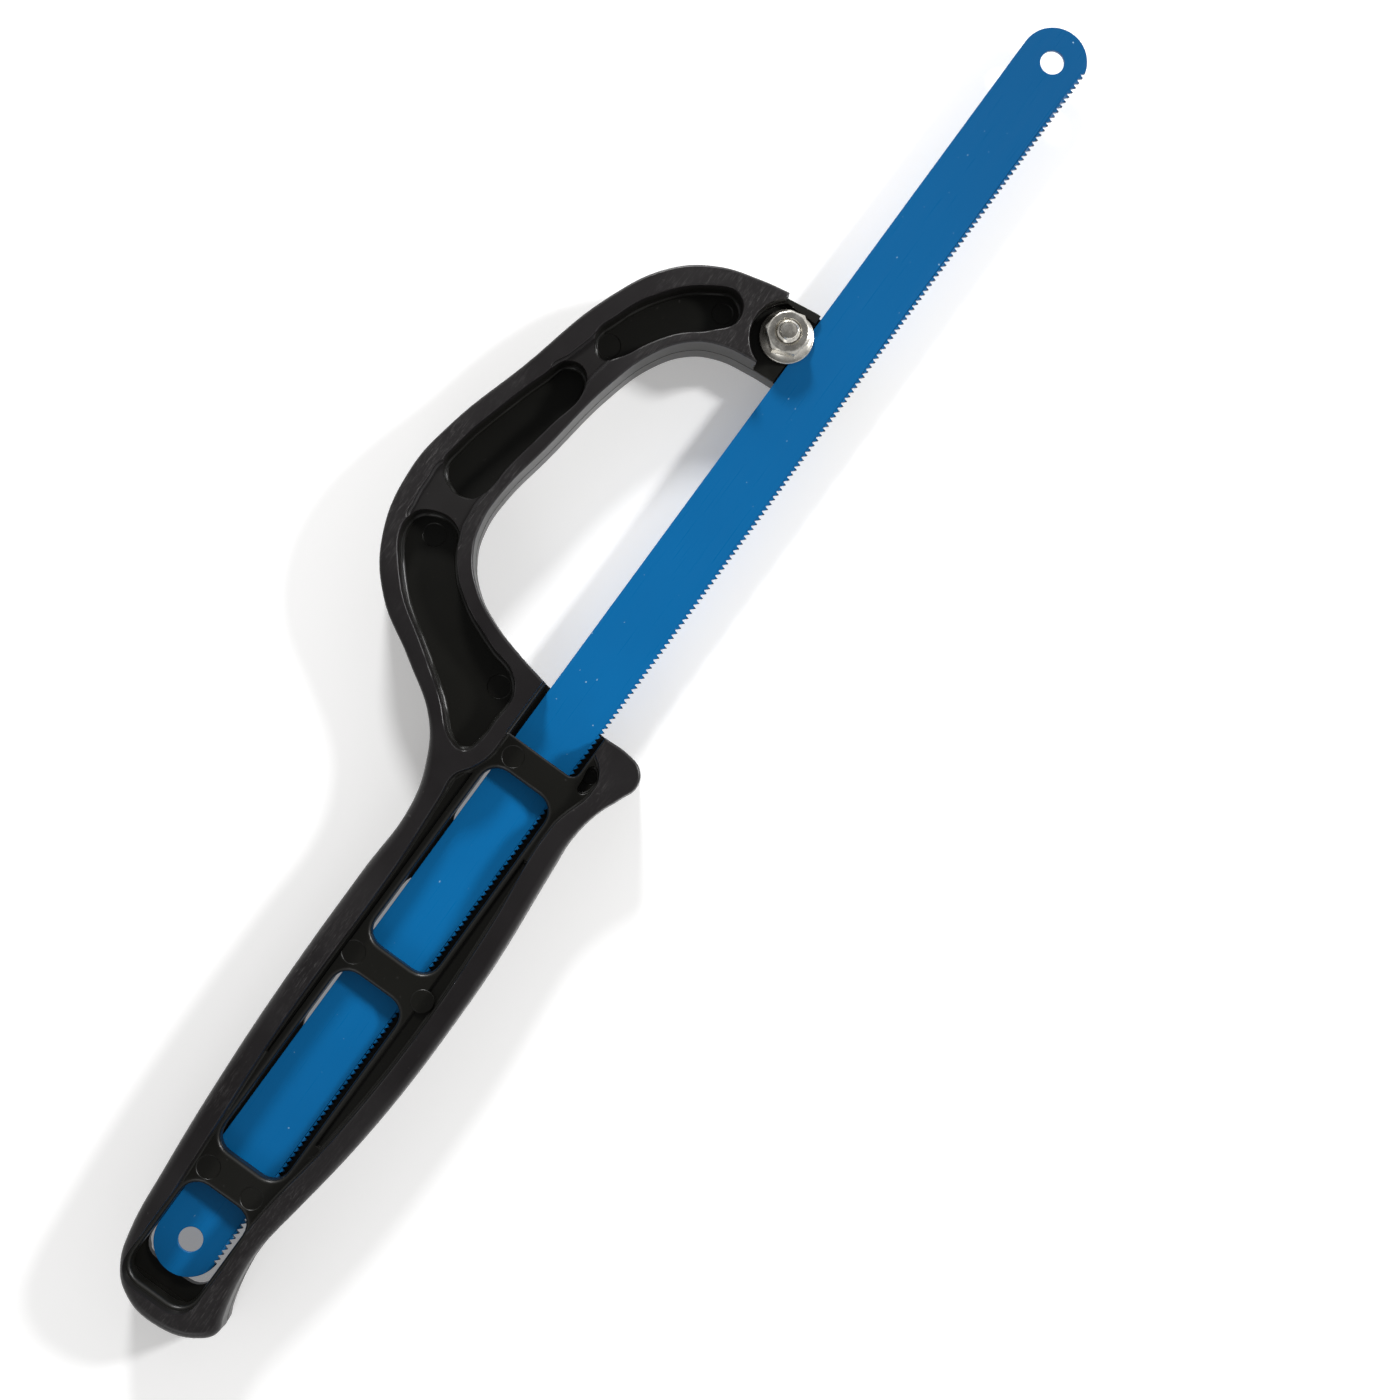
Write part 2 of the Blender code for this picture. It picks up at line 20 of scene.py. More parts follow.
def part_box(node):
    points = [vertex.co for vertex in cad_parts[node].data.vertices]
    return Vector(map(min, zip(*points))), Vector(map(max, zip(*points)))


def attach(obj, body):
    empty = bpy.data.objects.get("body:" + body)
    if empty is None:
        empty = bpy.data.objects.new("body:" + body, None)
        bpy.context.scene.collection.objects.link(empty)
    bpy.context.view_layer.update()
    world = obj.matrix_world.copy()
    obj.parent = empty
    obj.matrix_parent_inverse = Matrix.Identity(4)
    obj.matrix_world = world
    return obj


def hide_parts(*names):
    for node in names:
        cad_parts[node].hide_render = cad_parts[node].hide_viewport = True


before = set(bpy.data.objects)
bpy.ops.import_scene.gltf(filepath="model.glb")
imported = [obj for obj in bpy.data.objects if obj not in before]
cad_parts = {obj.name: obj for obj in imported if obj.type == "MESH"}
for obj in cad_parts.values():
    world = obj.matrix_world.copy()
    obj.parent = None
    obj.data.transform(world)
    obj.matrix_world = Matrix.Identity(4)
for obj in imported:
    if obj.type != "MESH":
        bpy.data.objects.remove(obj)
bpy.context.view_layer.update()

LOG = logging.getLogger("hacksaw")
MM = 0.001
INCH = 25.4
HANDLE_SHARE = 2.5614       # length of a smooth point's side over its handle
CORNER_ROOM = 1.15          # radii that a smooth line keeps from a rounded corner
ARC_PULL = 0.58             # how far the handles of a corner's arc reach to the corner
ROOM = 1.0                  # how far a tool stands out of the face it cuts

Point = tuple[float, ...]
Profile = list[tuple[float, float]]


class Side(Enum):
    """The two faces of the saw: the one with the nut, and the one that it lies on."""

    NEAR = 1
    FAR = -1


class Cut(Enum):
    """What a tool does to a piece."""

    TAKE = "DIFFERENCE"
    ADD = "UNION"
    KEEP = "INTERSECT"


# --- the bench: one selection at a time -----------------------------------------------


def take_up_none() -> None:
    """Deselect every object."""
    bpy.ops.object.select_all(action="DESELECT")


def take_up(*pieces: bpy.types.Object) -> None:
    """Select these objects alone and make the first one active."""
    take_up_none()
    for piece in pieces:
        piece.select_set(True)
    bpy.context.view_layer.objects.active = pieces[0]


def start_editing(piece: bpy.types.Object, kind: str = "FACE") -> None:
    """Open a piece in edit mode with nothing selected.

    Args:
        piece: the mesh object.
        kind: VERT, EDGE or FACE.
    """
    take_up(piece)
    bpy.ops.object.mode_set(mode="EDIT")
    bpy.ops.mesh.select_mode(type=kind)
    bpy.ops.mesh.select_all(action="DESELECT")


def stop_editing() -> None:
    """Go back to object mode."""
    bpy.ops.object.mode_set(mode="OBJECT")


def edit_faces(piece: bpy.types.Object, wanted: Callable[[bpy.types.MeshPolygon], bool]) -> None:
    """Open a piece in edit mode with the wanted faces selected."""
    start_editing(piece)
    stop_editing()
    for face in piece.data.polygons:
        face.select = wanted(face)
    bpy.ops.object.mode_set(mode="EDIT")


def edit_edges(piece: bpy.types.Object, wanted: Callable[[Vector, Vector], bool]) -> None:
    """Open a piece in edit mode with the wanted edges selected.

    Args:
        piece: the mesh object.
        wanted: tests an edge by its two ends.
    """
    start_editing(piece, "EDGE")
    stop_editing()
    points = piece.data.vertices
    for edge in piece.data.edges:
        first, second = (points[index].co for index in edge.vertices)
        edge.select = wanted(first, second)
    bpy.ops.object.mode_set(mode="EDIT")


def apply_all(piece: bpy.types.Object) -> None:
    """Apply every modifier of a piece, in order."""
    take_up(piece)
    for modifier in list(piece.modifiers):
        bpy.ops.object.modifier_apply(modifier=modifier.name)


def work(piece: bpy.types.Object, tool: bpy.types.Object, cut: Cut = Cut.TAKE) -> None:
    """Cut a piece with a tool, or add the tool to it, and put the tool away."""
    modifier = piece.modifiers.new(tool.name, "BOOLEAN")
    modifier.operation = cut.value
    modifier.solver = "EXACT"
    modifier.object = tool
    apply_all(piece)
    bpy.data.objects.remove(tool)


def merge(piece: bpy.types.Object, reach: float) -> None:
    """Merge the points of a mesh that stand within a reach of each other."""
    start_editing(piece)
    bpy.ops.mesh.select_all(action="SELECT")
    bpy.ops.mesh.remove_doubles(threshold=reach)
    stop_editing()


def bring_in(piece: bpy.types.Object, place: Vector) -> None:
    """Scale a mesh from millimetres and move it to its place, inside its object."""
    piece.data.transform(Matrix.Scale(MM, 4))
    piece.data.transform(Matrix.Translation(place))


def soften(piece: bpy.types.Object, angle: float = 32.0) -> None:
    """Shade a piece smooth up to an angle, with flat faces kept flat beside small rounds."""
    take_up(piece)
    bpy.ops.object.shade_smooth_by_angle(angle=math.radians(angle))
    weigh = piece.modifiers.new("even_normals", "WEIGHTED_NORMAL")
    weigh.keep_sharp = True
    weigh.weight = 80
    apply_all(piece)


# --- drawing ----------------------------------------------------------------------------


def bend(first: Vector, leave: Vector, reach: Vector, last: Vector, part: float) -> Vector:
    """A point of a cubic curve between two points with handles."""
    rest = 1.0 - part
    return (rest ** 3 * first + 3 * rest * rest * part * leave
            + 3 * rest * part * part * reach + part ** 3 * last)


def handles(before: Vector, point: Vector, after: Vector) -> tuple[Vector, Vector]:
    """Handles of a smooth curve point, from its two neighbours."""
    back, ahead = point - before, after - point
    along = ahead.normalized() + back.normalized()
    if along.length < 1e-9:
        return point.copy(), point.copy()
    reach = along.length * HANDLE_SHARE
    return point - along * (back.length / reach), point + along * (ahead.length / reach)


def outline(points: Sequence[Point], steps: int = 8) -> list[Vector]:
    """Turn a drawing into a closed line.

    Args:
        points: (x, y) for a point of a smooth curve, (x, y, radius) for a rounded corner.
        steps: straight pieces between two smooth points.

    Returns:
        The line's points, in order.
    """
    count = len(points)
    spots = [Vector(point[:2]) for point in points]
    arms = []
    for index, point in enumerate(points):
        spot, before, after = spots[index], spots[index - 1], spots[(index + 1) % count]
        if len(point) == 2:
            arms.append(handles(before, spot, after))
        else:
            arms.append((spot.lerp(before, 1 / 3), spot.lerp(after, 1 / 3)))
    line: list[Vector] = []
    radii = [point[2] if len(point) == 3 else 0.0 for point in points]
    for index in range(count):
        following = (index + 1) % count
        if radii[index] > 0:
            line.extend(rounded_corner(radii[index], spots[index], *arms[index]))
        else:
            line.append(spots[index])
        if len(points[index]) == 3 and len(points[following]) == 3:
            continue
        for step in range(1, steps):
            spot = bend(spots[index], arms[index][1], arms[following][0], spots[following],
                        step / steps)
            if ((spot - spots[index]).length >= radii[index] * CORNER_ROOM
                    and (spot - spots[following]).length >= radii[following] * CORNER_ROOM):
                line.append(spot)
    return spaced(line)


def spaced(line: list[Vector], least: float = 0.03) -> list[Vector]:
    """Leave out points that stand on the one before."""
    kept: list[Vector] = []
    for spot in line:
        if not kept or (spot - kept[-1]).length > least:
            kept.append(spot)
    if (kept[0] - kept[-1]).length <= least:
        kept.pop()
    return kept


def rounded_corner(radius: float, corner: Vector, back: Vector, ahead: Vector) -> list[Vector]:
    """Points of the arc that rounds one corner of a drawing.

    Args:
        radius: the arc's radius.
        corner: the corner.
        back: a point on the side before it.
        ahead: a point on the side after it.

    Returns:
        Seven points, from one side to the other.
    """
    into, out = (back - corner).normalized(), (ahead - corner).normalized()
    half = into.angle(out) / 2
    length = radius / math.tan(half) if half < math.radians(88) else radius * 0.1
    length = min(length, (back - corner).length * 2.2, (ahead - corner).length * 2.2)
    first, last = corner + into * length, corner + out * length
    return [bend(first, first.lerp(corner, ARC_PULL), last.lerp(corner, ARC_PULL), last, step / 6)
            for step in range(7)]


def ring(centre: Point, radius: float, sides: int, turn: float = 0.0) -> list[Vector]:
    """Points of a circle or regular polygon."""
    return [Vector((centre[0] + radius * math.cos(math.radians(turn) + math.tau * step / sides),
                    centre[1] + radius * math.sin(math.radians(turn) + math.tau * step / sides)))
            for step in range(sides)]


def plate_outline(low: Point, high: Point, radius: float) -> list[Point]:
    """A rectangle with rounded corners, as a drawing."""
    return [(low[0], low[1], radius), (high[0], low[1], radius),
            (high[0], high[1], radius), (low[0], high[1], radius)]


def arc_points(centre: Point, radius: float, start: float, end: float,
               steps: int) -> list[Point]:
    """Points of an arc, both ends included, angles in degrees."""
    made = []
    for step in range(steps + 1):
        angle = math.radians(start + (end - start) * step / steps)
        made.append((centre[0] + radius * math.cos(angle), centre[1] + radius * math.sin(angle)))
    return made


def outer_round(radius: float, steps: int = 4) -> Profile:
    """Steps of (inset, depth) from a wall over a rounded edge onto the face."""
    angles = [math.pi / 2 * step / steps for step in range(steps + 1)]
    return [(radius * (math.cos(a) - math.cos(b)), radius * (math.sin(b) - math.sin(a)))
            for a, b in zip(angles, angles[1:])]


def mouth_round(radius: float, steps: int = 3) -> Profile:
    """Steps of (inset, depth) from the face over a rounded edge into a hollow."""
    return [(depth, inset) for inset, depth in outer_round(radius, steps)]


def crossing(first: Vector, along: Vector, second: Vector, across: Vector) -> Vector:
    """Where two lines cross, or halfway between their points if they hardly do."""
    middle = (first + second) / 2
    turn = along.x * across.y - along.y * across.x
    if abs(turn) < 0.02 * along.length * across.length:
        return middle
    gap = second - first
    spot = first + along * ((gap.x * across.y - gap.y * across.x) / turn)
    if (spot - middle).length > 4.0 * gap.length + 0.05:
        return middle
    return spot


def nearest(line: Sequence[Vector], spot: Vector) -> float:
    """Distance from a point to a closed line."""
    best = math.inf
    before = line[-1]
    for point in line:
        along = point - before
        share = (spot - before).dot(along) / max(along.length_squared, 1e-12)
        share = min(1.0, max(0.0, share))
        best = min(best, (spot - before - along * share).length_squared)
        before = point
    return math.sqrt(best)


def drawn_in(line: Sequence[Vector], insets: Sequence[float]) -> list[Vector]:
    """Shrink a closed line, and close up the corners that are too tight for it.

    Args:
        line: the points, counter-clockwise.
        insets: how far each point moves inwards.

    Returns:
        As many points as the line has; points of a closed corner fall together.
    """
    if max(insets) <= 0:
        return [spot.copy() for spot in line]
    count = len(line)
    moved, fits = [], []
    for index, spot in enumerate(line):
        into = (spot - line[index - 1]).normalized()
        out = (line[(index + 1) % count] - spot).normalized()
        first, second = Vector((-into.y, into.x)), Vector((-out.y, out.x))
        lean = (first + second) / max(1.0 + first.dot(second), 0.25)
        moved.append(spot + lean * insets[index])
        fits.append(nearest(line, moved[-1]) > insets[index] * 0.98)
    if not any(fits):
        raise ValueError("the line is too narrow for this inset")
    start = fits.index(True)
    index = start
    while index < start + count:
        if fits[index % count]:
            index += 1
            continue
        first, last = index, index
        while not fits[last % count]:
            last += 1
        before, after = (first - 1) % count, last % count
        spot = crossing(moved[before], line[first % count] - line[before], moved[after],
                        line[after] - line[(last - 1) % count])
        for gone in range(first, last):
            moved[gone % count] = spot.copy()
        index = last
    return moved


def sink(name: str, line: Sequence[Vector], start: float, way: int, steps: Profile,
         plain: int = 0, share: Callable[[Vector], float] | None = None) -> bpy.types.Object:
    """Build a closed solid from an outline by pushing its face on, step by step.

    Args:
        name: the object's name.
        line: the outline, in millimetres.
        start: height at which it starts, in millimetres from the middle of the frame.
        way: 1 to go up, -1 to go down.
        steps: how far the face shrinks and how far it goes on, for each step.
        plain: steps before the rounded edge begins, where its size varies.
        share: size of the rounded edge at a point of the outline, as a part of the full one.

    Returns:
        The solid, in millimetres.
    """
    area = sum(a.x * b.y - b.x * a.y for a, b in zip(line, [*line[1:], line[0]]))
    ordered = list(line) if area > 0 else list(reversed(line))
    take_up_none()
    bpy.ops.mesh.primitive_circle_add(vertices=len(ordered), fill_type="NGON", radius=1.0)
    solid = bpy.context.active_object
    solid.name = name
    for vertex, spot in zip(solid.data.vertices, ordered):
        vertex.co = (spot.x, spot.y, 0.0)
    bpy.ops.object.mode_set(mode="EDIT")
    bpy.ops.mesh.select_mode(type="FACE")
    bpy.ops.mesh.select_all(action="SELECT")
    for _ in steps:
        bpy.ops.mesh.extrude_region_move(TRANSFORM_OT_translate={"value": (0.0, 0.0, 1.0)})
    stop_editing()
    levels = [(0.0, start)]
    for inset, depth in steps:
        levels.append((levels[-1][0] + inset, levels[-1][1] + way * depth))
    sizes = [share(spot) if share else 1.0 for spot in ordered]
    base, end = levels[plain][0], levels[-1][1]
    rings = []
    for level, (inset, _) in enumerate(levels):
        own = [base + (inset - base) * size if level > plain else inset for size in sizes]
        rings.append(drawn_in(ordered, own))
    order = {(round(spot.x, 5), round(spot.y, 5)): index for index, spot in enumerate(ordered)}
    for vertex in solid.data.vertices:
        index = order[(round(vertex.co.x, 5), round(vertex.co.y, 5))]
        level = round(vertex.co.z)
        height = levels[level][1]
        if share and level >= plain:
            height = end - (end - height) * sizes[index]
        vertex.co = (*rings[level][index], height)
    merge(solid, 0.0004)
    face_outwards(solid)
    return solid


def face_outwards(solid: bpy.types.Object) -> None:
    """Turn every face of a closed solid outwards, by the sign of its volume."""
    start_editing(solid)
    bpy.ops.mesh.select_all(action="SELECT")
    bpy.ops.mesh.normals_make_consistent(inside=False)
    stop_editing()
    if volume_of(solid) < 0:
        start_editing(solid)
        bpy.ops.mesh.select_all(action="SELECT")
        bpy.ops.mesh.flip_normals()
        stop_editing()


def volume_of(solid: bpy.types.Object) -> float:
    """Six times the signed volume of a closed mesh: negative if it is inside out."""
    points = solid.data.vertices
    volume = 0.0
    for face in solid.data.polygons:
        first, *others = (points[index].co for index in face.vertices)
        for second, third in zip(others, others[1:]):
            volume += first.dot(second.cross(third))
    return volume


# --- finishes ---------------------------------------------------------------------------


class Board:
    """The node tree of one finish, with short ways to add what it needs."""

    def __init__(self, name: str) -> None:
        """Start a material that has a Principled shader and Object coordinates."""
        self.made = bpy.data.materials.new(name)
        self.made.use_nodes = True
        self.nodes = self.made.node_tree.nodes
        self.links = self.made.node_tree.links
        self.shader = self.nodes["Principled BSDF"]
        self.place = self.nodes.new("ShaderNodeTexCoord").outputs["Object"]

    def join(self, source: bpy.types.NodeSocket, target: bpy.types.NodeSocket) -> None:
        """Link two sockets."""
        self.links.new(source, target)

    def noise(self, scale: float, detail: float = 3.0, stretch: Point = (1.0, 1.0, 1.0),
              turn: float = 0.0, rough: float = 0.55) -> bpy.types.NodeSocket:
        """A noise pattern on the piece.

        Args:
            scale: waves to the metre.
            detail: layers of finer noise.
            stretch: factor of the scale along each axis.
            turn: angle about Z, in degrees.
            rough: strength of the finer layers.
        """
        mapping = self.nodes.new("ShaderNodeMapping")
        mapping.inputs["Scale"].default_value = stretch
        mapping.inputs["Rotation"].default_value = (0.0, 0.0, math.radians(turn))
        texture = self.nodes.new("ShaderNodeTexNoise")
        texture.inputs["Scale"].default_value = scale
        texture.inputs["Detail"].default_value = detail
        texture.inputs["Roughness"].default_value = rough
        self.join(self.place, mapping.inputs["Vector"])
        self.join(mapping.outputs["Vector"], texture.inputs["Vector"])
        return texture.outputs["Fac"]

    def spread(self, value: bpy.types.NodeSocket, low: float, high: float,
               to_low: float = 0.0, to_high: float = 1.0) -> bpy.types.NodeSocket:
        """Map a value from one range to another, clamped."""
        node = self.nodes.new("ShaderNodeMapRange")
        for name, number in (("From Min", low), ("From Max", high),
                             ("To Min", to_low), ("To Max", to_high)):
            node.inputs[name].default_value = number
        self.join(value, node.inputs["Value"])
        return node.outputs["Result"]

    def sum(self, kind: str, first: bpy.types.NodeSocket,
            second: bpy.types.NodeSocket | float) -> bpy.types.NodeSocket:
        """A Math node of two values."""
        node = self.nodes.new("ShaderNodeMath")
        node.operation = kind
        self.join(first, node.inputs[0])
        if isinstance(second, float):
            node.inputs[1].default_value = second
        else:
            self.join(second, node.inputs[1])
        return node.outputs[0]

    def blend(self, share: bpy.types.NodeSocket, first: Point | bpy.types.NodeSocket,
              second: Point) -> bpy.types.NodeSocket:
        """Mix two colours by a share."""
        node = self.nodes.new("ShaderNodeMix")
        node.data_type = "RGBA"
        self.join(share, node.inputs["Factor"])
        if isinstance(first, tuple):
            node.inputs["A"].default_value = (*first, 1.0)
        else:
            self.join(first, node.inputs["A"])
        node.inputs["B"].default_value = (*second, 1.0)
        return node.outputs["Result"]

    def axis(self, name: str) -> bpy.types.NodeSocket:
        """One coordinate of the place on the piece, in metres."""
        node = self.nodes.new("ShaderNodeSeparateXYZ")
        self.join(self.place, node.inputs["Vector"])
        return node.outputs[name]

    def bump(self, height: bpy.types.NodeSocket, strength: float, distance: float,
             under: bpy.types.NodeSocket | None = None) -> bpy.types.NodeSocket:
        """A bump of the surface, on top of another one if given."""
        node = self.nodes.new("ShaderNodeBump")
        node.inputs["Strength"].default_value = strength
        node.inputs["Distance"].default_value = distance
        self.join(height, node.inputs["Height"])
        if under is not None:
            self.join(under, node.inputs["Normal"])
        return node.outputs["Normal"]

    def set(self, name: str, value: float | Point) -> None:
        """Set a constant on the shader."""
        self.shader.inputs[name].default_value = value

    def drive(self, name: str, value: bpy.types.NodeSocket) -> None:
        """Link a value to the shader."""
        self.join(value, self.shader.inputs[name])


@dataclass(frozen=True)
class BlackPlastic:
    """Satin black moulded plastic: fine grain, lightly scuffed rims, and painted shade that
    darkens the deep floors.
    """

    middle: float
    rim: Point = (0.0105, 0.0092, 0.0096)
    # painted shade: this darker tone goes into the deep floors of the recesses, standing in for
    # the shade that falls in them
    floor: Point = (0.0068, 0.0066, 0.0052)
    faded: Point = (0.0165, 0.0150, 0.0155)
    scuff: Point = (0.10, 0.094, 0.092)
    rim_height: float = 6.25 * MM
    full_shade_height: float = 3.6 * MM

    def material(self) -> bpy.types.Material:
        """Build the material."""
        board = Board("black_plastic")
        height = board.axis("Z")
        from_middle = board.sum("ABSOLUTE", board.sum("SUBTRACT", height, self.middle), 0.0)
        on_rim = board.spread(from_middle, self.rim_height - 0.3 * MM, self.rim_height)
        floor_shade_share = board.spread(from_middle, self.full_shade_height, self.rim_height, 1.0, 0.0)
        clouds = board.noise(45.0, 5.0)
        patches = board.spread(board.noise(38.0, 2.0), 0.50, 0.62)
        marks = board.sum("MULTIPLY", board.sum("MULTIPLY", self.scratches(board), patches),
                          on_rim)
        chips = board.spread(board.noise(1300.0, 2.0), 0.70, 0.78)
        dust = board.sum("MULTIPLY", chips, board.spread(board.noise(60.0, 2.0), 0.42, 0.66))
        tone = board.blend(board.spread(clouds, 0.38, 0.72), self.rim, self.faded)
        # painted shade: below the rim the tone darkens towards the floor tone, in place of the
        # shade in the recesses
        tone = board.blend(floor_shade_share, tone, self.floor)
        tone = board.blend(board.sum("MULTIPLY", marks, 0.40), tone, self.scuff)
        tone = board.blend(board.sum("MULTIPLY", dust, 0.30), tone, self.scuff)
        board.drive("Base Color", tone)
        satin = board.spread(clouds, 0.3, 0.7, 0.31, 0.39)
        board.drive("Roughness", board.sum("ADD", satin, board.sum("MULTIPLY", marks, 0.15)))
        board.set("Specular IOR Level", 0.40)
        grain = board.noise(5200.0, 2.0)
        wave = board.noise(140.0, 2.0)
        low = board.bump(wave, 0.08, 0.00020)
        fine = board.bump(grain, 0.20, 0.00004, low)
        board.drive("Normal", board.bump(marks, 0.4, 0.00002, fine))
        return board.made

    def scratches(self, board: Board) -> bpy.types.NodeSocket:
        """Thin short lines in four directions."""
        found = None
        for turn in (12.0, 55.0, 98.0, 141.0):
            line = board.spread(
                board.noise(1.0, 2.0, (320.0, 9500.0, 320.0), turn, 0.6), 0.64, 0.71)
            found = line if found is None else board.sum("MAXIMUM", found, line)
        return found


@dataclass(frozen=True)
class BlueEnamel:
    """Thin blue enamel on spring steel, worn to dark steel on the tips of the teeth, and darkened
    towards the blade's tip by painted shade.
    """

    teeth: float
    guard: float
    tip: float
    blue: Point = (0.0020, 0.150, 0.400)
    deep: Point = (0.0018, 0.130, 0.352)
    painted_tip_shade: Point = (0.0012, 0.078, 0.215)
    worn: Point = (0.0040, 0.022, 0.062)
    dust: Point = (0.42, 0.62, 0.74)

    def material(self) -> bpy.types.Material:
        """Build the material."""
        board = Board("blue_enamel")
        clouds = board.noise(26.0, 4.0)
        brushed = board.noise(1.0, 3.0, (60.0, 5200.0, 60.0), 0.0, 0.6)
        tone = board.blend(board.spread(clouds, 0.32, 0.68), self.blue, self.deep)
        # painted shade: the enamel darkens from the guard towards the blade's tip, standing in for
        # light that falls off along the blade
        tone = board.blend(board.spread(board.axis("X"), self.guard, self.tip), tone, self.painted_tip_shade)
        specks = board.spread(board.noise(1500.0, 0.0), 0.86, 0.875)
        tone = board.blend(board.sum("MULTIPLY", specks, 0.5), tone, self.dust)
        ragged = board.noise(1400.0, 2.0)
        edge = board.sum("ADD", board.axis("Y"), board.sum("MULTIPLY", ragged, 0.25 * MM))
        bare = board.spread(edge, self.teeth, self.teeth + 0.30 * MM, 1.0, 0.0)
        board.drive("Base Color", board.blend(bare, tone, self.worn))
        board.drive("Metallic", board.sum("MULTIPLY", bare, 0.35))
        board.drive("Roughness", board.spread(brushed, 0.3, 0.7, 0.27, 0.34))
        board.set("Specular IOR Level", 0.35)
        fine = board.bump(brushed, 0.10, 0.00002)
        board.drive("Normal", board.bump(board.noise(2600.0, 2.0), 0.10, 0.00003, fine))
        return board.made


@dataclass(frozen=True)
class ZincPlate:
    """Bright zinc plate with fine handling marks."""

    name: str
    bright: Point = (0.74, 0.72, 0.67)
    stained: Point = (0.56, 0.53, 0.47)
    smooth: float = 0.20
    rough: float = 0.31

    def material(self) -> bpy.types.Material:
        """Build the material."""
        board = Board(self.name)
        clouds = board.noise(420.0, 4.0)
        board.drive("Base Color", board.blend(
            board.spread(clouds, 0.40, 0.68), self.bright, self.stained))
        board.set("Metallic", 0.88)
        board.drive("Roughness", board.spread(
            board.noise(900.0, 3.0), 0.35, 0.65, self.smooth, self.rough))
        grind = board.noise(1.0, 2.0, (900.0, 9000.0, 900.0), 24.0)
        fine = board.bump(grind, 0.10, 0.00001)
        board.drive("Normal", board.bump(board.noise(1500.0, 3.0), 0.10, 0.00002, fine))
        return board.made


def dress(piece: bpy.types.Object, finish: bpy.types.Material) -> None:
    """Give a piece one material all over."""
    piece.data.materials.clear()
    piece.data.materials.append(finish)


# --- the frame --------------------------------------------------------------------------


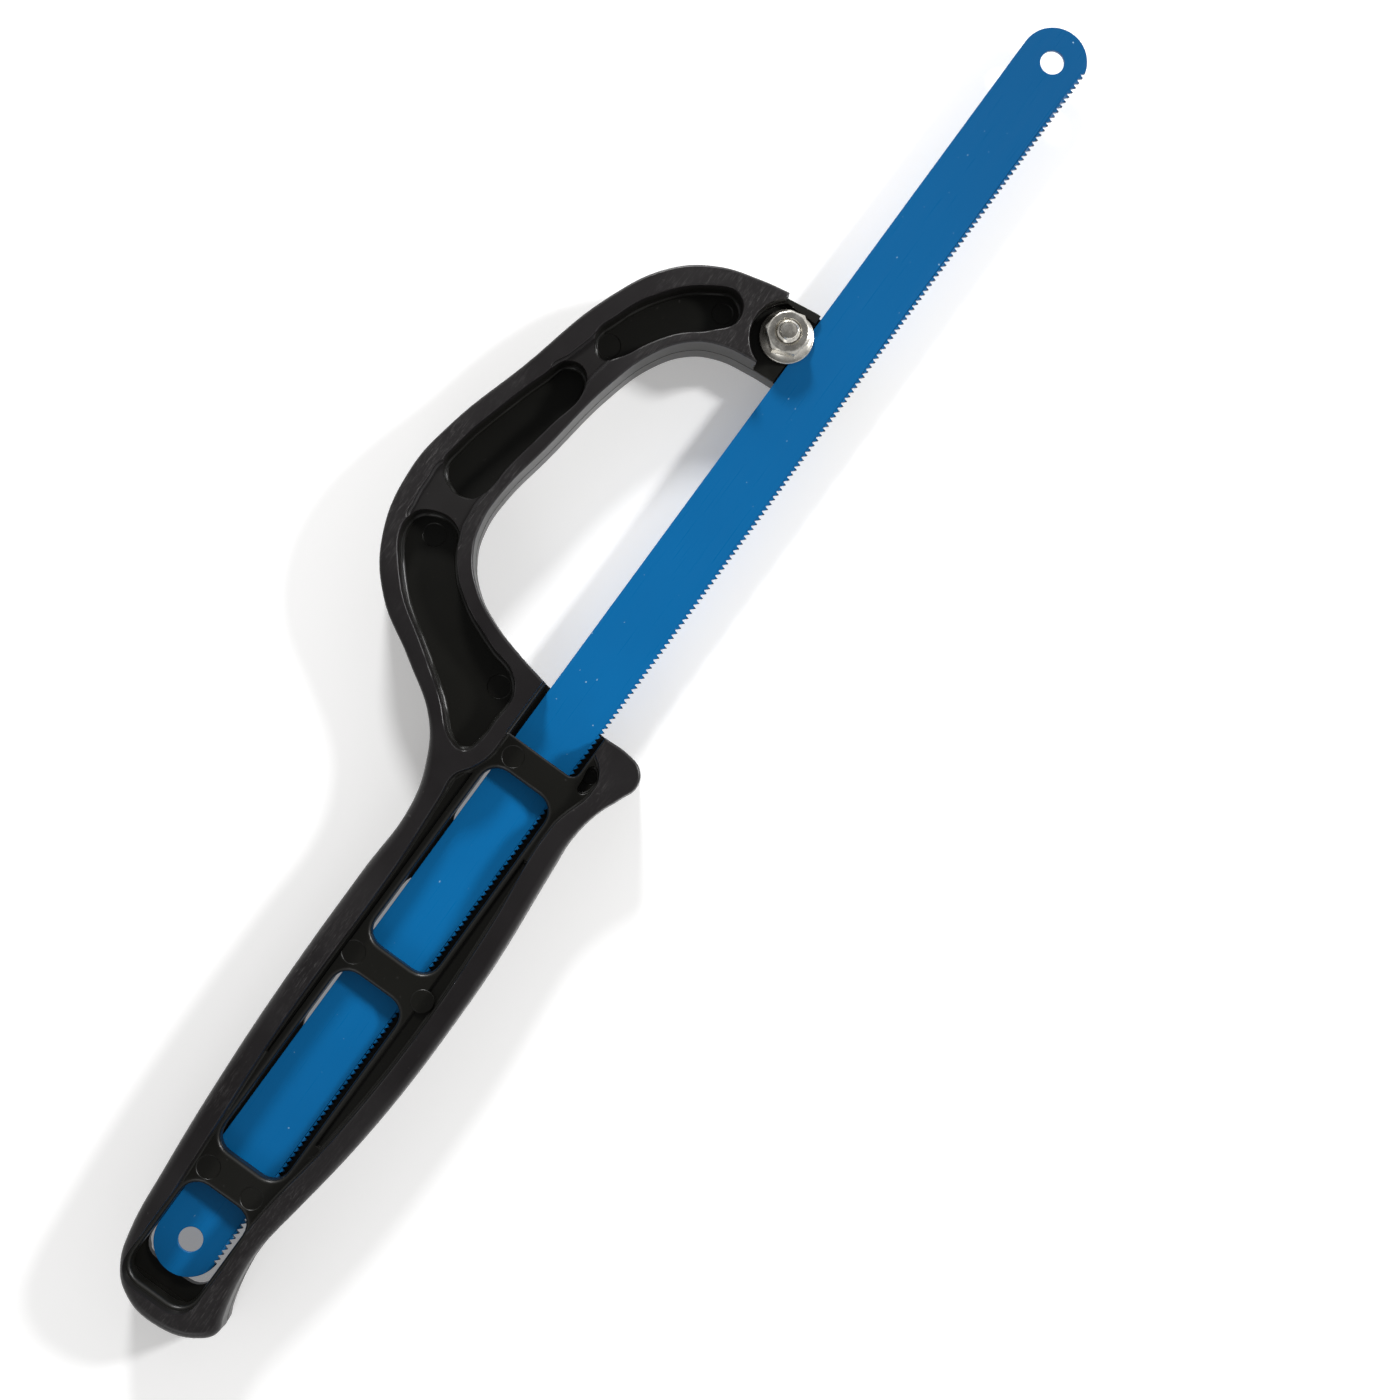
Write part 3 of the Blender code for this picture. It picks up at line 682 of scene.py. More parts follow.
@dataclass
class SawFrame:
    """The one-piece moulding: grip, finger guard, bow and clamp foot."""

    thickness: float = 13.0
    edge_round: float = 1.4
    draft: float = 0.10
    bead: float = 0.05
    grip_front: tuple[float, float] = (84.0, 98.0)
    bow_edge_share: float = 0.34
    bar_face: float = 3.225
    trough_floor: float = 1.525
    web_face: float = 1.5
    slot_half: float = 0.625
    window_height: float = 7.0
    window_edge: float = 0.75
    far_window_low: float = -5.3
    window_corner: float = 4.1
    slot_height: float = 6.45
    slot_low: float = -6.7
    slot_ends: tuple[float, float] = (-9.0, 118.0)
    drawing: list[Point] = field(default_factory=lambda: [
        (-13.4, -3.0), (-11.8, 3.7), (-8.4, 7.1), (-3.5, 8.9), (7.8, 10.4), (27.4, 12.1),
        (47.1, 13.0), (66.9, 13.2), (80.2, 13.2), (87.5, 15.4), (93.6, 19.3), (99.6, 27.9),
        (105.7, 37.6), (113.8, 43.8), (125.6, 46.7), (135.8, 45.8), (151.1, 41.8),
        (169.1, 37.2), (179.4, 31.8), (184.6, 25.4), (187.2, 18.0), (188.4, 12.4, 0.0),
        (189.2, 7.0, 0.0), (189.4, -4.4, 2.8), (175.2, -4.4, 2.8), (175.2, 6.5, 0.0),
        (174.8, 11.0), (173.6, 16.9), (171.0, 21.3),
        (165.7, 25.1), (157.8, 27.7), (142.0, 30.1), (131.5, 31.6), (125.5, 31.3),
        (120.4, 29.3), (116.0, 25.0), (113.4, 20.0), (111.6, 14.0), (110.2, 7.3, 0.0),
        (108.6, -6.6, 0.0), (108.6, -11.8), (107.7, -14.5), (105.1, -15.9), (101.5, -14.8),
        (97.5, -13.2), (91.5, -12.2), (85.5, -12.6), (66.8, -14.2), (53.6, -14.5),
        (40.4, -14.3), (27.3, -13.3), (14.2, -11.5), (9.8, -10.8), (6.0, -10.4),
        (1.4, -10.7), (-3.7, -11.7), (-6.0, -12.4), (-8.0, -13.1), (-10.6, -11.5)])
    recess: list[Point] = field(default_factory=lambda: [
        (-9.0, -2.0), (-8.4, 1.2), (-7.0, 4.0), (-4.4, 5.8), (2.0, 6.7), (16.4, 7.7),
        (39.2, 9.1), (70.7, 9.3), (84.3, 10.2), (88.6, 10.5), (91.6, 8.7), (94.6, 7.6),
        (99.0, 7.45), (112.6, 7.4, 0.0), (112.6, -6.7, 0.0), (105.6, -6.9, 1.2), (104.0, -9.0),
        (100.8, -10.5), (91.5, -8.6), (70.6, -10.2), (50.0, -10.9), (27.8, -9.8),
        (9.1, -7.4), (-1.0, -7.7), (-6.6, -7.5, 1.6)])
    butt: list[Point] = field(default_factory=lambda: [
        (-10.7, -2.2), (-10.0, 1.5), (-8.3, 4.5), (-5.4, 6.15), (1.0, 6.55, 0.0),
        (1.0, -7.7, 0.0), (-8.2, -8.1, 2.6)])
    lip_groove: list[Point] = field(default_factory=lambda: [
        (33.0, 7.9, 0.0), (33.0, 8.40, 0.0), (39.2, 8.62, 0.0), (55.0, 8.74, 0.0),
        (70.7, 8.82, 0.0), (78.0, 9.2, 0.0), (84.3, 9.65, 0.0), (88.0, 9.88, 0.4),
        (90.2, 8.85, 0.4), (90.9, 7.9, 0.0)])
    lower_trough: list[Point] = field(default_factory=lambda: [
        (25.0, -7.5, 0.0), (25.0, -8.78, 0.0), (28.0, -9.15, 0.0), (36.0, -9.85, 0.0),
        (43.0, -10.2, 0.0), (50.0, -10.35, 0.0), (58.0, -10.25, 0.0), (65.0, -9.95, 0.0),
        (70.6, -9.65, 0.0), (78.0, -9.15, 0.0), (84.0, -8.70, 0.0), (84.0, -7.5, 0.0)])
    guard_trough: list[Point] = field(default_factory=lambda: [
        (98.2, -8.4), (100.6, -7.5), (103.6, -7.7), (103.3, -9.2), (100.8, -10.1)])
    pockets: list[list[Point]] = field(default_factory=lambda: [
        [(95.4, 9.7), (100.0, 9.55), (105.2, 9.7), (108.5, 12.5), (110.0, 17.7), (114.9, 27.8),
         (119.1, 31.6), (122.7, 33.9), (122.9, 39.3), (119.5, 42.4), (110.1, 37.6),
         (102.0, 26.6), (97.5, 20.1), (92.3, 13.3), (92.8, 10.8)],
        [(126.9, 36.0), (128.9, 34.1), (136.4, 33.1), (145.8, 31.6), (153.7, 30.6),
         (157.3, 32.9), (156.6, 36.5), (152.1, 38.3), (142.7, 41.1), (134.0, 43.0),
         (129.7, 43.1), (126.9, 39.9)],
        [(159.6, 31.9), (162.1, 29.0), (166.5, 26.7), (170.9, 23.7), (174.8, 19.4),
         (179.3, 16.6), (183.1, 19.3), (181.4, 24.4), (174.1, 31.3), (167.9, 34.2),
         (162.4, 35.2)]])
    pocket_floors: tuple[float, ...] = (1.5, 1.0, 1.5)
    ribs: list[list[Point]] = field(default_factory=lambda: [
        [(118.4, 42.0), (121.8, 43.1), (125.6, 43.5), (130.6, 43.0), (131.4, 34.2),
         (127.2, 33.6), (123.2, 33.1), (119.6, 32.3)],
        [(153.6, 37.8), (157.4, 36.8), (161.6, 35.6), (164.0, 34.9), (163.6, 29.3),
         (160.9, 30.0), (156.2, 30.8), (153.0, 31.3)]])
    near_windows: tuple[Point, ...] = ((-9.6, 9.4), (15.8, 52.1), (58.0, 94.2))
    far_windows: tuple[Point, ...] = ((-6.0, 29.8), (37.9, 71.6), (80.6, 97.0))
    mouth_low: Point = (99.7, -6.6)
    mouth_high: Point = (120.0, 7.4)
    mouth_edge: float = 0.4
    foot_step: float = 10.6
    nut: Point = (182.9, 9.0)
    recess_radius: float = 7.3
    recess_centre: Point = (181.9, 8.0)
    recess_turn: float = 43.0
    foot_room: tuple[float, float] = (171.0, 193.0)
    foot_low: float = -8.0
    lip: float = 187.8
    bed: float = 0.325
    bed_back: float = 6.3
    lip_height: float = 1.725
    pocket_radius: float = 4.39
    bolt_hole: float = 2.25

    def build(self, place: Vector) -> bpy.types.Object:
        """Model the moulding.

        Args:
            place: the rear hole of the blade at mid height, in the row frame.

        Returns:
            The frame, in metres.
        """
        body = self.blank()
        for side in Side:
            for tool in self.side_tools(side):
                work(body, tool)
        for tool in self.foot_tools():
            work(body, tool)
        work(body, self.slot_tool())
        work(body, self.mouth_tool())
        for side in Side:
            self.pin_marks(body, side)
        bring_in(body, place)
        self.clean(body)
        soften(body, 30.0)
        return body

    def half_steps(self) -> Profile:
        """Steps from the parting line up one side wall and over the rim's outer edge."""
        rise = self.thickness / 2 - self.edge_round - self.bead
        return [(self.bead, self.bead), (self.draft, rise), *outer_round(self.edge_round, 6)]

    def blank(self) -> bpy.types.Object:
        """The whole outline at full thickness, with its parting line at mid depth."""
        line = outline(self.drawing, 7)
        upper = sink("frame_body", line, 0.0, 1, self.half_steps(), 2, self.edge_share)
        lower = sink("frame_lower", line, 0.0, -1, self.half_steps(), 2, self.edge_share)
        for half in (upper, lower):
            edit_faces(half, lambda face: abs(face.center.z) < 1e-6 and abs(face.normal.z) > 0.9)
            bpy.ops.mesh.delete(type="ONLY_FACE")
            stop_editing()
        take_up(upper, lower)
        bpy.ops.object.join()
        merge(upper, 0.0005)
        face_outwards(upper)
        return upper

    def edge_share(self, spot: Vector) -> float:
        """How round the outer edge is: full on the grip, slight on the bow and guard."""
        along = min(1.0, max(0.0, (spot.x - self.grip_front[0])
                             / (self.grip_front[1] - self.grip_front[0])))
        return 1.0 - (1.0 - self.bow_edge_share) * along * along * (3.0 - 2.0 * along)

    def hollow(self, name: str, drawing: Sequence[Point], side: Side, top: float, floor: float,
               edge: float, corner: float, draft: float, steps: int = 6) -> bpy.types.Object:
        """A tool for a hollow with a rounded edge, a wall that leans in and a round corner.

        Args:
            name: the tool's name.
            drawing: the hollow's outline where it opens.
            side: the side of the saw.
            top: height at which it opens, from the middle of the frame.
            floor: height of the floor from the middle of the frame.
            edge: radius of the edge where it opens.
            corner: radius between wall and floor.
            draft: how much the wall leans in.
            steps: straight pieces between two smooth points.
        """
        depth = top - floor - edge - corner
        rounding = [(inset, down) for down, inset in reversed(mouth_round(corner, 3))]
        profile = [(0.0, ROOM), *mouth_round(edge, 3), (draft, depth), *rounding]
        return sink(name, outline(drawing, steps), side.value * (top + ROOM), -side.value, profile)

    def side_tools(self, side: Side) -> Iterable[bpy.types.Object]:
        """Tools for the recess, troughs, windows, pockets and ribs of one side."""
        name = side.name.lower()
        rim, bar = self.thickness / 2, self.bar_face
        yield self.hollow(name + "_recess", self.recess, side, rim, bar, 0.3, 0.35, 0.12)
        yield self.hollow(name + "_butt", self.butt, side, rim, bar + 0.05, 0.95, 0.6, 0.75)
        yield self.hollow(name + "_lip_groove", self.lip_groove, side, bar, bar - 0.6,
                          0.1, 0.1, 0.04)
        yield self.hollow(name + "_lower_trough", self.lower_trough, side, bar, bar - 0.5,
                          0.2, 0.2, 0.03)
        yield self.hollow(name + "_guard_trough", self.guard_trough, side, bar,
                          self.trough_floor, 0.2, 0.3, 0.1)
        for index, drawing in enumerate(self.ribs):
            yield self.hollow(f"{name}_rib_{index}", drawing, side, rim, rim - 1.0,
                              0.25, 0.5, 0.05)
        for index, (drawing, floor) in enumerate(zip(self.pockets, self.pocket_floors)):
            yield self.hollow(f"{name}_pocket_{index}", drawing, side, rim, floor,
                              0.3, 0.5, 0.25)
        windows = self.near_windows if side is Side.NEAR else self.far_windows
        for index, (rear, front) in enumerate(windows):
            yield self.window_tool(f"{name}_window_{index}", side, rear, front)

    def window_tool(self, name: str, side: Side, rear: float, front: float) -> bpy.types.Object:
        """A tool for a window through the bars to the slot, with a rounded edge."""
        edge = self.window_edge
        corner = self.window_corner
        high = self.slot_height if rear < 0 else self.window_height
        drawing = plate_outline((rear - edge, -self.window_height - edge * 0.5),
                                (front + edge, high + edge * 0.5), corner)
        if side is Side.FAR:
            low = (-self.window_height if rear < 0 else self.far_window_low) - edge
            drawing[0] = (rear - edge, low, corner)
            drawing[1] = (front + edge, self.far_window_low - edge, corner)
            if rear < 0:
                drawing[1:1] = [(8.0, low, 0.0), (12.0, self.far_window_low - edge, 0.0)]
        profile = [(0.0, 4.0), *mouth_round(edge, 4), (0.05, self.bar_face + 0.3 - edge)]
        return sink(name, outline(drawing), side.value * (self.bar_face + 4.0), -side.value,
                    profile)

    def slot_tool(self) -> bpy.types.Object:
        """A tool for the slot that the blade lies in."""
        rear, front = self.slot_ends
        line = outline(plate_outline((rear, self.slot_low), (front, self.slot_height), 0.0))
        return sink("slot", line, -self.slot_half, 1, [(0.0, 2 * self.slot_half)])

    def mouth_tool(self) -> bpy.types.Object:
        """A tool that opens the near side in front of the last bar."""
        (rear, low), (front, high), edge = self.mouth_low, self.mouth_high, self.mouth_edge
        line = outline([(rear - edge, low - edge, 1.9), (front, low - edge, 0.0),
                        (front, high, 0.0), (rear - edge, high, 0.3)])
        profile = [(0.0, 4.0), *mouth_round(edge, 3),
                   (0.03, self.bar_face + self.slot_half - edge)]
        return sink("mouth", line, self.bar_face + 4.0, -1, profile)

    def foot_tools(self) -> Iterable[bpy.types.Object]:
        """Tools that open the near half of the foot, bed the blade and take the bolt."""
        top = self.thickness / 2
        past = self.recess_centre[1] + self.recess_radius * math.sin(
            math.radians(self.recess_turn))
        front = self.foot_room[1]
        line = self.foot_line(self.recess_radius, self.recess_turn,
                              [(front, past, 0.0), (front, self.foot_low, 0.0)])
        yield sink("foot_opening", line, top + ROOM, -1,
                   [(0.0, ROOM), *mouth_round(0.3, 3), (0.05, top - self.lip_height - 0.3)])
        end = math.degrees(math.acos((self.lip - self.recess_centre[0]) / self.recess_radius))
        line = self.foot_line(self.recess_radius - 0.1, end, [(self.lip, self.foot_low, 0.0)])
        yield sink("foot_floor", line, self.lip_height + 2.0, -1,
                   [(0.0, 2.0), *mouth_round(0.2, 2), (0.05, self.lip_height - self.bed - 0.2)])
        line = outline(plate_outline((self.foot_room[0], self.foot_low),
                                     (front, self.bed_back), 0.0))
        yield sink("foot_bed", line, top + 2.0, -1, [(0.0, top + 2.0 + self.slot_half)])
        yield sink("head_pocket", ring(self.nut, self.pocket_radius, 6, 30.0), -top - 0.9, 1,
                   [(0.0, 0.9), (0.08, 0.08), (0.0, 3.19)])
        yield sink("bolt_hole", ring(self.nut, self.bolt_hole, 40), -top + 1.1, 1,
                   [(0.0, self.thickness + 1.3)])

    def foot_line(self, radius: float, end: float, after: list[Point]) -> list[Vector]:
        """The step of the foot, with the arc round the nut.

        Args:
            radius: radius of the arc.
            end: angle at which the arc ends.
            after: corners that follow the arc.

        Returns:
            The closed line.
        """
        rise = math.degrees(math.asin(
            (self.foot_step - self.recess_centre[1]) / self.recess_radius))
        first, *arc, last = arc_points(self.recess_centre, radius, 180 - rise, end, 14)
        rear = self.foot_room[0]
        return outline([(rear, self.foot_low, 0.0), (rear, self.foot_step, 0.0),
                        (*first, 0.0), *arc, (*last, 0.0), *after], 2)

    def pin_marks(self, body: bpy.types.Object, side: Side) -> None:
        """Round marks of the mould's ejector pins, each a shallow dish or a low disc."""
        bar, web = self.bar_face, self.web_face
        marks = [(12.0, 4.6, bar, 2.1), (12.0, -4.3, bar, 2.0), (54.7, 6.3, bar, 2.1),
                 (96.8, 4.1, bar, 2.0), (105.0, 13.1, web, 2.1), (119.4, 37.3, web, 2.1),
                 (163.3, 32.6, web, 2.1), (179.4, 20.2, web, 1.9),
                 (101.6, -8.4, self.trough_floor, 1.3)]
        for index, (x, y, face, radius) in enumerate(marks):
            tool = sink(f"mark_{index}", ring((x, y), radius, 36), side.value * (face + 0.6),
                        -side.value, [(0.0, 0.6), (0.08, 0.09), (0.05, 0.03)])
            work(body, tool)
        root = 1.2
        disc = sink("mark_disc", ring((54.8, -7.9), 2.0, 36), side.value * root, side.value,
                    [(0.0, bar - root + 0.05), (0.10, 0.08)])
        work(body, disc, Cut.ADD)

    @staticmethod
    def clean(body: bpy.types.Object) -> None:
        """Merge the splinters that the tools leave."""
        start_editing(body)
        bpy.ops.mesh.select_all(action="SELECT")
        bpy.ops.mesh.remove_doubles(threshold=0.000012)
        bpy.ops.mesh.dissolve_degenerate(threshold=0.000008)
        bpy.ops.mesh.quads_convert_to_tris(ngon_method="BEAUTY", quad_method="BEAUTY")
        stop_editing()


# --- the blade ----------------------------------------------------------------------------


@dataclass
class SawBlade:
    """The ten-inch blade: two holes, a straight back, and set teeth."""

    spacing: float = 250.0
    width: float = 12.0
    thickness: float = 0.65
    hole: float = 4.2
    margin: float = 6.3
    teeth_per_inch: float = 24.0
    tooth_depth: float = 0.72
    set_out: float = 0.17
    set_wave: int = 7
    set_depth: float = 0.85
    calm_depth: float = 1.5
    edge: float = 0.07
    ease: float = 0.08

    def build(self, place: Vector) -> bpy.types.Object:
        """Model the blade about the place of its rear hole."""
        body = self.strip()
        for x in (0.0, self.spacing):
            work(body, self.hole_tool(x))
        self.part_off_tooth_line(body)
        work(body, self.comb())
        self.set_teeth(body)
        bring_in(body, place)
        soften(body, 35.0)
        return body

    def strip(self) -> bpy.types.Object:
        """The plain strip with its round ends and eased edges."""
        half = self.width / 2
        rear, tip = -self.margin + half, self.spacing + self.margin - half
        line = [Vector(p) for p in (*arc_points((rear, 0.0), half, 270, 90, 36),
                                    *arc_points((tip, 0.0), half, 90, -90, 36))]
        flat = self.thickness - 2 * self.edge
        body = sink("blade_body", line, -flat / 2, 1, [(0.0, flat), *outer_round(self.edge, 2)])
        edit_faces(body, lambda face: face.normal.z < -0.9 and face.area > 100.0)
        for inset, depth in outer_round(self.edge, 2):
            bpy.ops.mesh.inset(thickness=inset, depth=depth, use_even_offset=True)
        stop_editing()
        return body

    def hole_tool(self, x: float) -> bpy.types.Object:
        """A tool for one hole, which eases its edges."""
        above, ease = 0.3, self.ease
        return sink("hole", ring((x, 0.0), self.hole / 2 + ease, 64),
                    self.thickness / 2 + above, -1,
                    [(0.0, above), (ease, ease), (0.0, self.thickness - ease + 0.4)])

    def part_off_tooth_line(self, body: bpy.types.Object) -> None:
        """Divide the faces along the root of the teeth, so that only the strip below bends."""
        for depth in (self.calm_depth, self.set_depth):
            start_editing(body)
            bpy.ops.mesh.select_all(action="SELECT")
            bpy.ops.mesh.bisect(plane_co=(0.0, -self.width / 2 + depth, 0.0),
                                plane_no=(0.0, 1.0, 0.0))
            stop_editing()

    def comb(self) -> bpy.types.Object:
        """A tool with all the gullets between the teeth, in one row."""
        pitch = INCH / self.teeth_per_inch
        half = self.width / 2
        first = self.spacing + self.margin - half + 1.8
        count = int((first + 1.6) / pitch)
        outside, level = -half - ROOM, -half - 0.02
        gullet = ((0.04, level), (0.56, -half + self.tooth_depth * 0.72),
                  (0.76, -half + self.tooth_depth), (0.90, -half + self.tooth_depth * 0.82))
        line = [Vector((first + 0.5, outside)), Vector((first + 0.5, level))]
        for tooth in range(count):
            x = first - tooth * pitch
            line.extend(Vector((x - share * pitch, y)) for share, y in gullet)
        last = first - count * pitch
        line.extend((Vector((last, level)), Vector((last, outside))))
        return sink("comb", line, -1.0, 1, [(0.0, 2.0)])

    def set_teeth(self, body: bpy.types.Object) -> None:
        """Bend the teeth out to both sides in a wave, as the mill does."""
        level = -self.width / 2 + self.set_depth
        edit_faces(body, lambda face: face.center.y < level + 0.7)
        bpy.ops.mesh.quads_convert_to_tris(ngon_method="BEAUTY", quad_method="BEAUTY")
        stop_editing()
        wave = INCH / self.teeth_per_inch * self.set_wave
        for vertex in body.data.vertices:
            share = (level - vertex.co.y) / (level + self.width / 2)
            if share > 0:
                vertex.co.z += self.set_out * share * math.sin(math.tau * vertex.co.x / wave)


# --- the clamp ----------------------------------------------------------------------------


def corner_radius(across_flats: float) -> float:
    """From the middle of a hexagon to its corners."""
    return across_flats / 2 / math.cos(math.radians(30))


@dataclass
class ClampBolt:
    """The M4 hexagon-head bolt that stands up through the foot."""

    diameter: float = 4.0
    pitch: float = 0.7
    across_flats: float = 7.0
    head_height: float = 2.8
    head_low: float = -6.325
    end: float = 6.475
    chamfer: float = 0.75
    thread_depth: float = 0.40
    dome: float = 0.16
    rows_per_turn: int = 8
    sides: int = 48

    def build(self, place: Vector) -> bpy.types.Object:
        """Model the bolt about its axis at mid height."""
        body = self.shank()
        work(body, self.head(), Cut.ADD)
        bring_in(body, place)
        soften(body, 35.0)
        return body

    def shank(self) -> bpy.types.Object:
        """The threaded shank: a cylinder cut into rows, pulled into a helix."""
        low = self.head_low + self.head_height * 0.5
        length = self.end - low
        take_up_none()
        bpy.ops.mesh.primitive_cylinder_add(
            vertices=self.sides, radius=self.diameter / 2, depth=length,
            location=(0.0, 0.0, low + length / 2))
        body = bpy.context.active_object
        body.name = "bolt_body"
        bpy.ops.object.transform_apply(location=True, rotation=True, scale=True)
        edit_edges(body, lambda a, b: abs(a.z - b.z) > length / 2)
        bpy.ops.mesh.subdivide(number_cuts=int(length / self.pitch * self.rows_per_turn))
        stop_editing()
        self.cap(body)
        for vertex in body.data.vertices:
            self.thread_point(vertex)
        return body

    def cap(self, body: bpy.types.Object) -> None:
        """Ring the upper end, so that it can be domed."""
        edit_faces(body, lambda face: face.normal.z > 0.9)
        for inset in (0.10, 0.20, 0.35, 0.35):
            bpy.ops.mesh.inset(thickness=inset, depth=0.0, use_even_offset=True)
        stop_editing()

    def thread_point(self, vertex: bpy.types.MeshVertex) -> None:
        """Move one point of the shank to the thread's flank, chamfer or dome."""
        flat = Vector((vertex.co.x, vertex.co.y))
        radius, full = flat.length, self.diameter / 2
        if radius < 1e-6:
            return
        below = self.end - vertex.co.z
        if radius < full - 0.05:
            reach = radius * 0.80
            vertex.co.z = self.end - self.dome * (radius / full) ** 2
        else:
            turn = math.atan2(vertex.co.y, vertex.co.x) / math.tau
            place = ((vertex.co.z / self.pitch) - turn) % 1.0
            tooth = max(0.0, min(1.0, 1.35 * (1.0 - abs(2.0 * place - 1.0)) - 0.12))
            crest = full - 0.03
            reach = min(crest - self.thread_depth * (1.0 - tooth),
                        crest - max(0.0, self.chamfer - below) * 0.72)
        vertex.co.x, vertex.co.y = flat.x * reach / radius, flat.y * reach / radius

    def head(self) -> bpy.types.Object:
        """The hexagon head, chamfered on its outer face."""
        radius = corner_radius(self.across_flats)
        head = sink("head", ring((0.0, 0.0), radius, 6, 30.0), self.head_low, 1,
                    [(0.0, self.head_height)])
        cone = sink("head_cone", ring((0.0, 0.0), radius + 0.6, 64), self.head_low + 4.0, -1,
                    [(0.0, 3.2), (0.6, 0.35), (0.55, 0.25), (0.40, 0.20)])
        work(head, cone, Cut.KEEP)
        return head


@dataclass
class FlangeNut:
    """The M4 nut with its own conical flange."""

    base: float = 0.625
    height: float = 4.65
    across_flats: float = 7.0
    flange: float = 9.5
    flange_edge: float = 0.7
    bore: float = 2.02
    turn: float = 51.0

    def build(self, place: Vector) -> bpy.types.Object:
        """Model the nut about its axis at mid height."""
        body = self.flange_disc()
        work(body, self.hexagon(), Cut.ADD)
        work(body, self.bore_tool())
        for tool in (self.mouth_tool(Side.NEAR), self.mouth_tool(Side.FAR)):
            work(body, tool)
        bring_in(body, place)
        merge(body, 0.000005)
        soften(body, 28.0)
        return body

    def flange_disc(self) -> bpy.types.Object:
        """The flange: a thin rim, a rounded shoulder and a cone up to the hexagon."""
        ease = 0.12
        body = sink("nut_body", ring((0.0, 0.0), self.flange / 2, 96), self.base + ease, 1,
                    [(0.0, self.flange_edge - 0.2 - ease), *outer_round(0.2, 4), (0.55, 0.18),
                     (0.65, 0.42), (0.45, 0.42), (0.25, 0.40)])
        foot = sink("nut_foot", ring((0.0, 0.0), self.flange / 2 - ease, 96), self.base, 1,
                    [(0.0, 0.02), (0.02, 0.3)])
        work(body, foot, Cut.ADD)
        return body

    def hexagon(self) -> bpy.types.Object:
        """The hexagon, with the cone-shaped chamfer of its top."""
        radius = corner_radius(self.across_flats)
        top = self.base + self.height
        body = sink("hexagon", ring((0.0, 0.0), radius, 6, self.turn), self.base + 0.4, 1,
                    [(0.0, self.height - 0.4)])
        edit_edges(body, lambda a, b: abs(a.z - b.z) > 1.0)
        bpy.ops.mesh.bevel(offset=0.12, segments=3, affect="EDGES")
        stop_editing()
        cone = sink("nut_cone", ring((0.0, 0.0), radius + 0.5, 96), self.base + 0.2, 1,
                    [(0.0, self.height - 0.2 - 0.75), (0.72, 0.38), (0.30, 0.22), (0.30, 0.15)])
        work(body, cone, Cut.KEEP)
        if max(vertex.co.z for vertex in body.data.vertices) > top + 1e-3:
            raise ValueError("the nut's chamfer is higher than the nut")
        return body

    def bore_tool(self) -> bpy.types.Object:
        """A tool for the bore."""
        return sink("bore", ring((0.0, 0.0), self.bore, 64), self.base - 1.0, 1,
                    [(0.0, self.height + 3.0)])

    def mouth_tool(self, side: Side) -> bpy.types.Object:
        """A tool for the countersink at one end of the bore."""
        start = self.base + self.height if side is Side.NEAR else self.base
        return sink("mouth", ring((0.0, 0.0), self.bore + 0.42, 64), start + side.value * 0.4,
                    -side.value, [(0.0, 0.4), (0.12, 0.06), (0.30, 0.30), (0.10, 0.3)])


# --- the studio -----------------------------------------------------------------------------


@dataclass
class Softbox:
    """One area light, aimed at the middle of the saw."""

    name: str
    azimuth: float
    elevation: float
    distance: float
    size: float
    power: float

    def place(self, aim: Vector) -> None:
        """Put the light up."""
        data = bpy.data.lights.new(self.name, "AREA")
        data.shape = "DISK"
        data.size = self.size
        data.energy = self.power
        lamp = bpy.data.objects.new(self.name, data)
        bpy.context.scene.collection.objects.link(lamp)
        across = math.cos(math.radians(self.elevation))
        lamp.location = aim + self.distance * Vector((
            across * math.cos(math.radians(self.azimuth)),
            across * math.sin(math.radians(self.azimuth)),
            math.sin(math.radians(self.elevation))))
        lamp.rotation_euler = (aim - lamp.location).to_track_quat("-Z", "Y").to_euler()


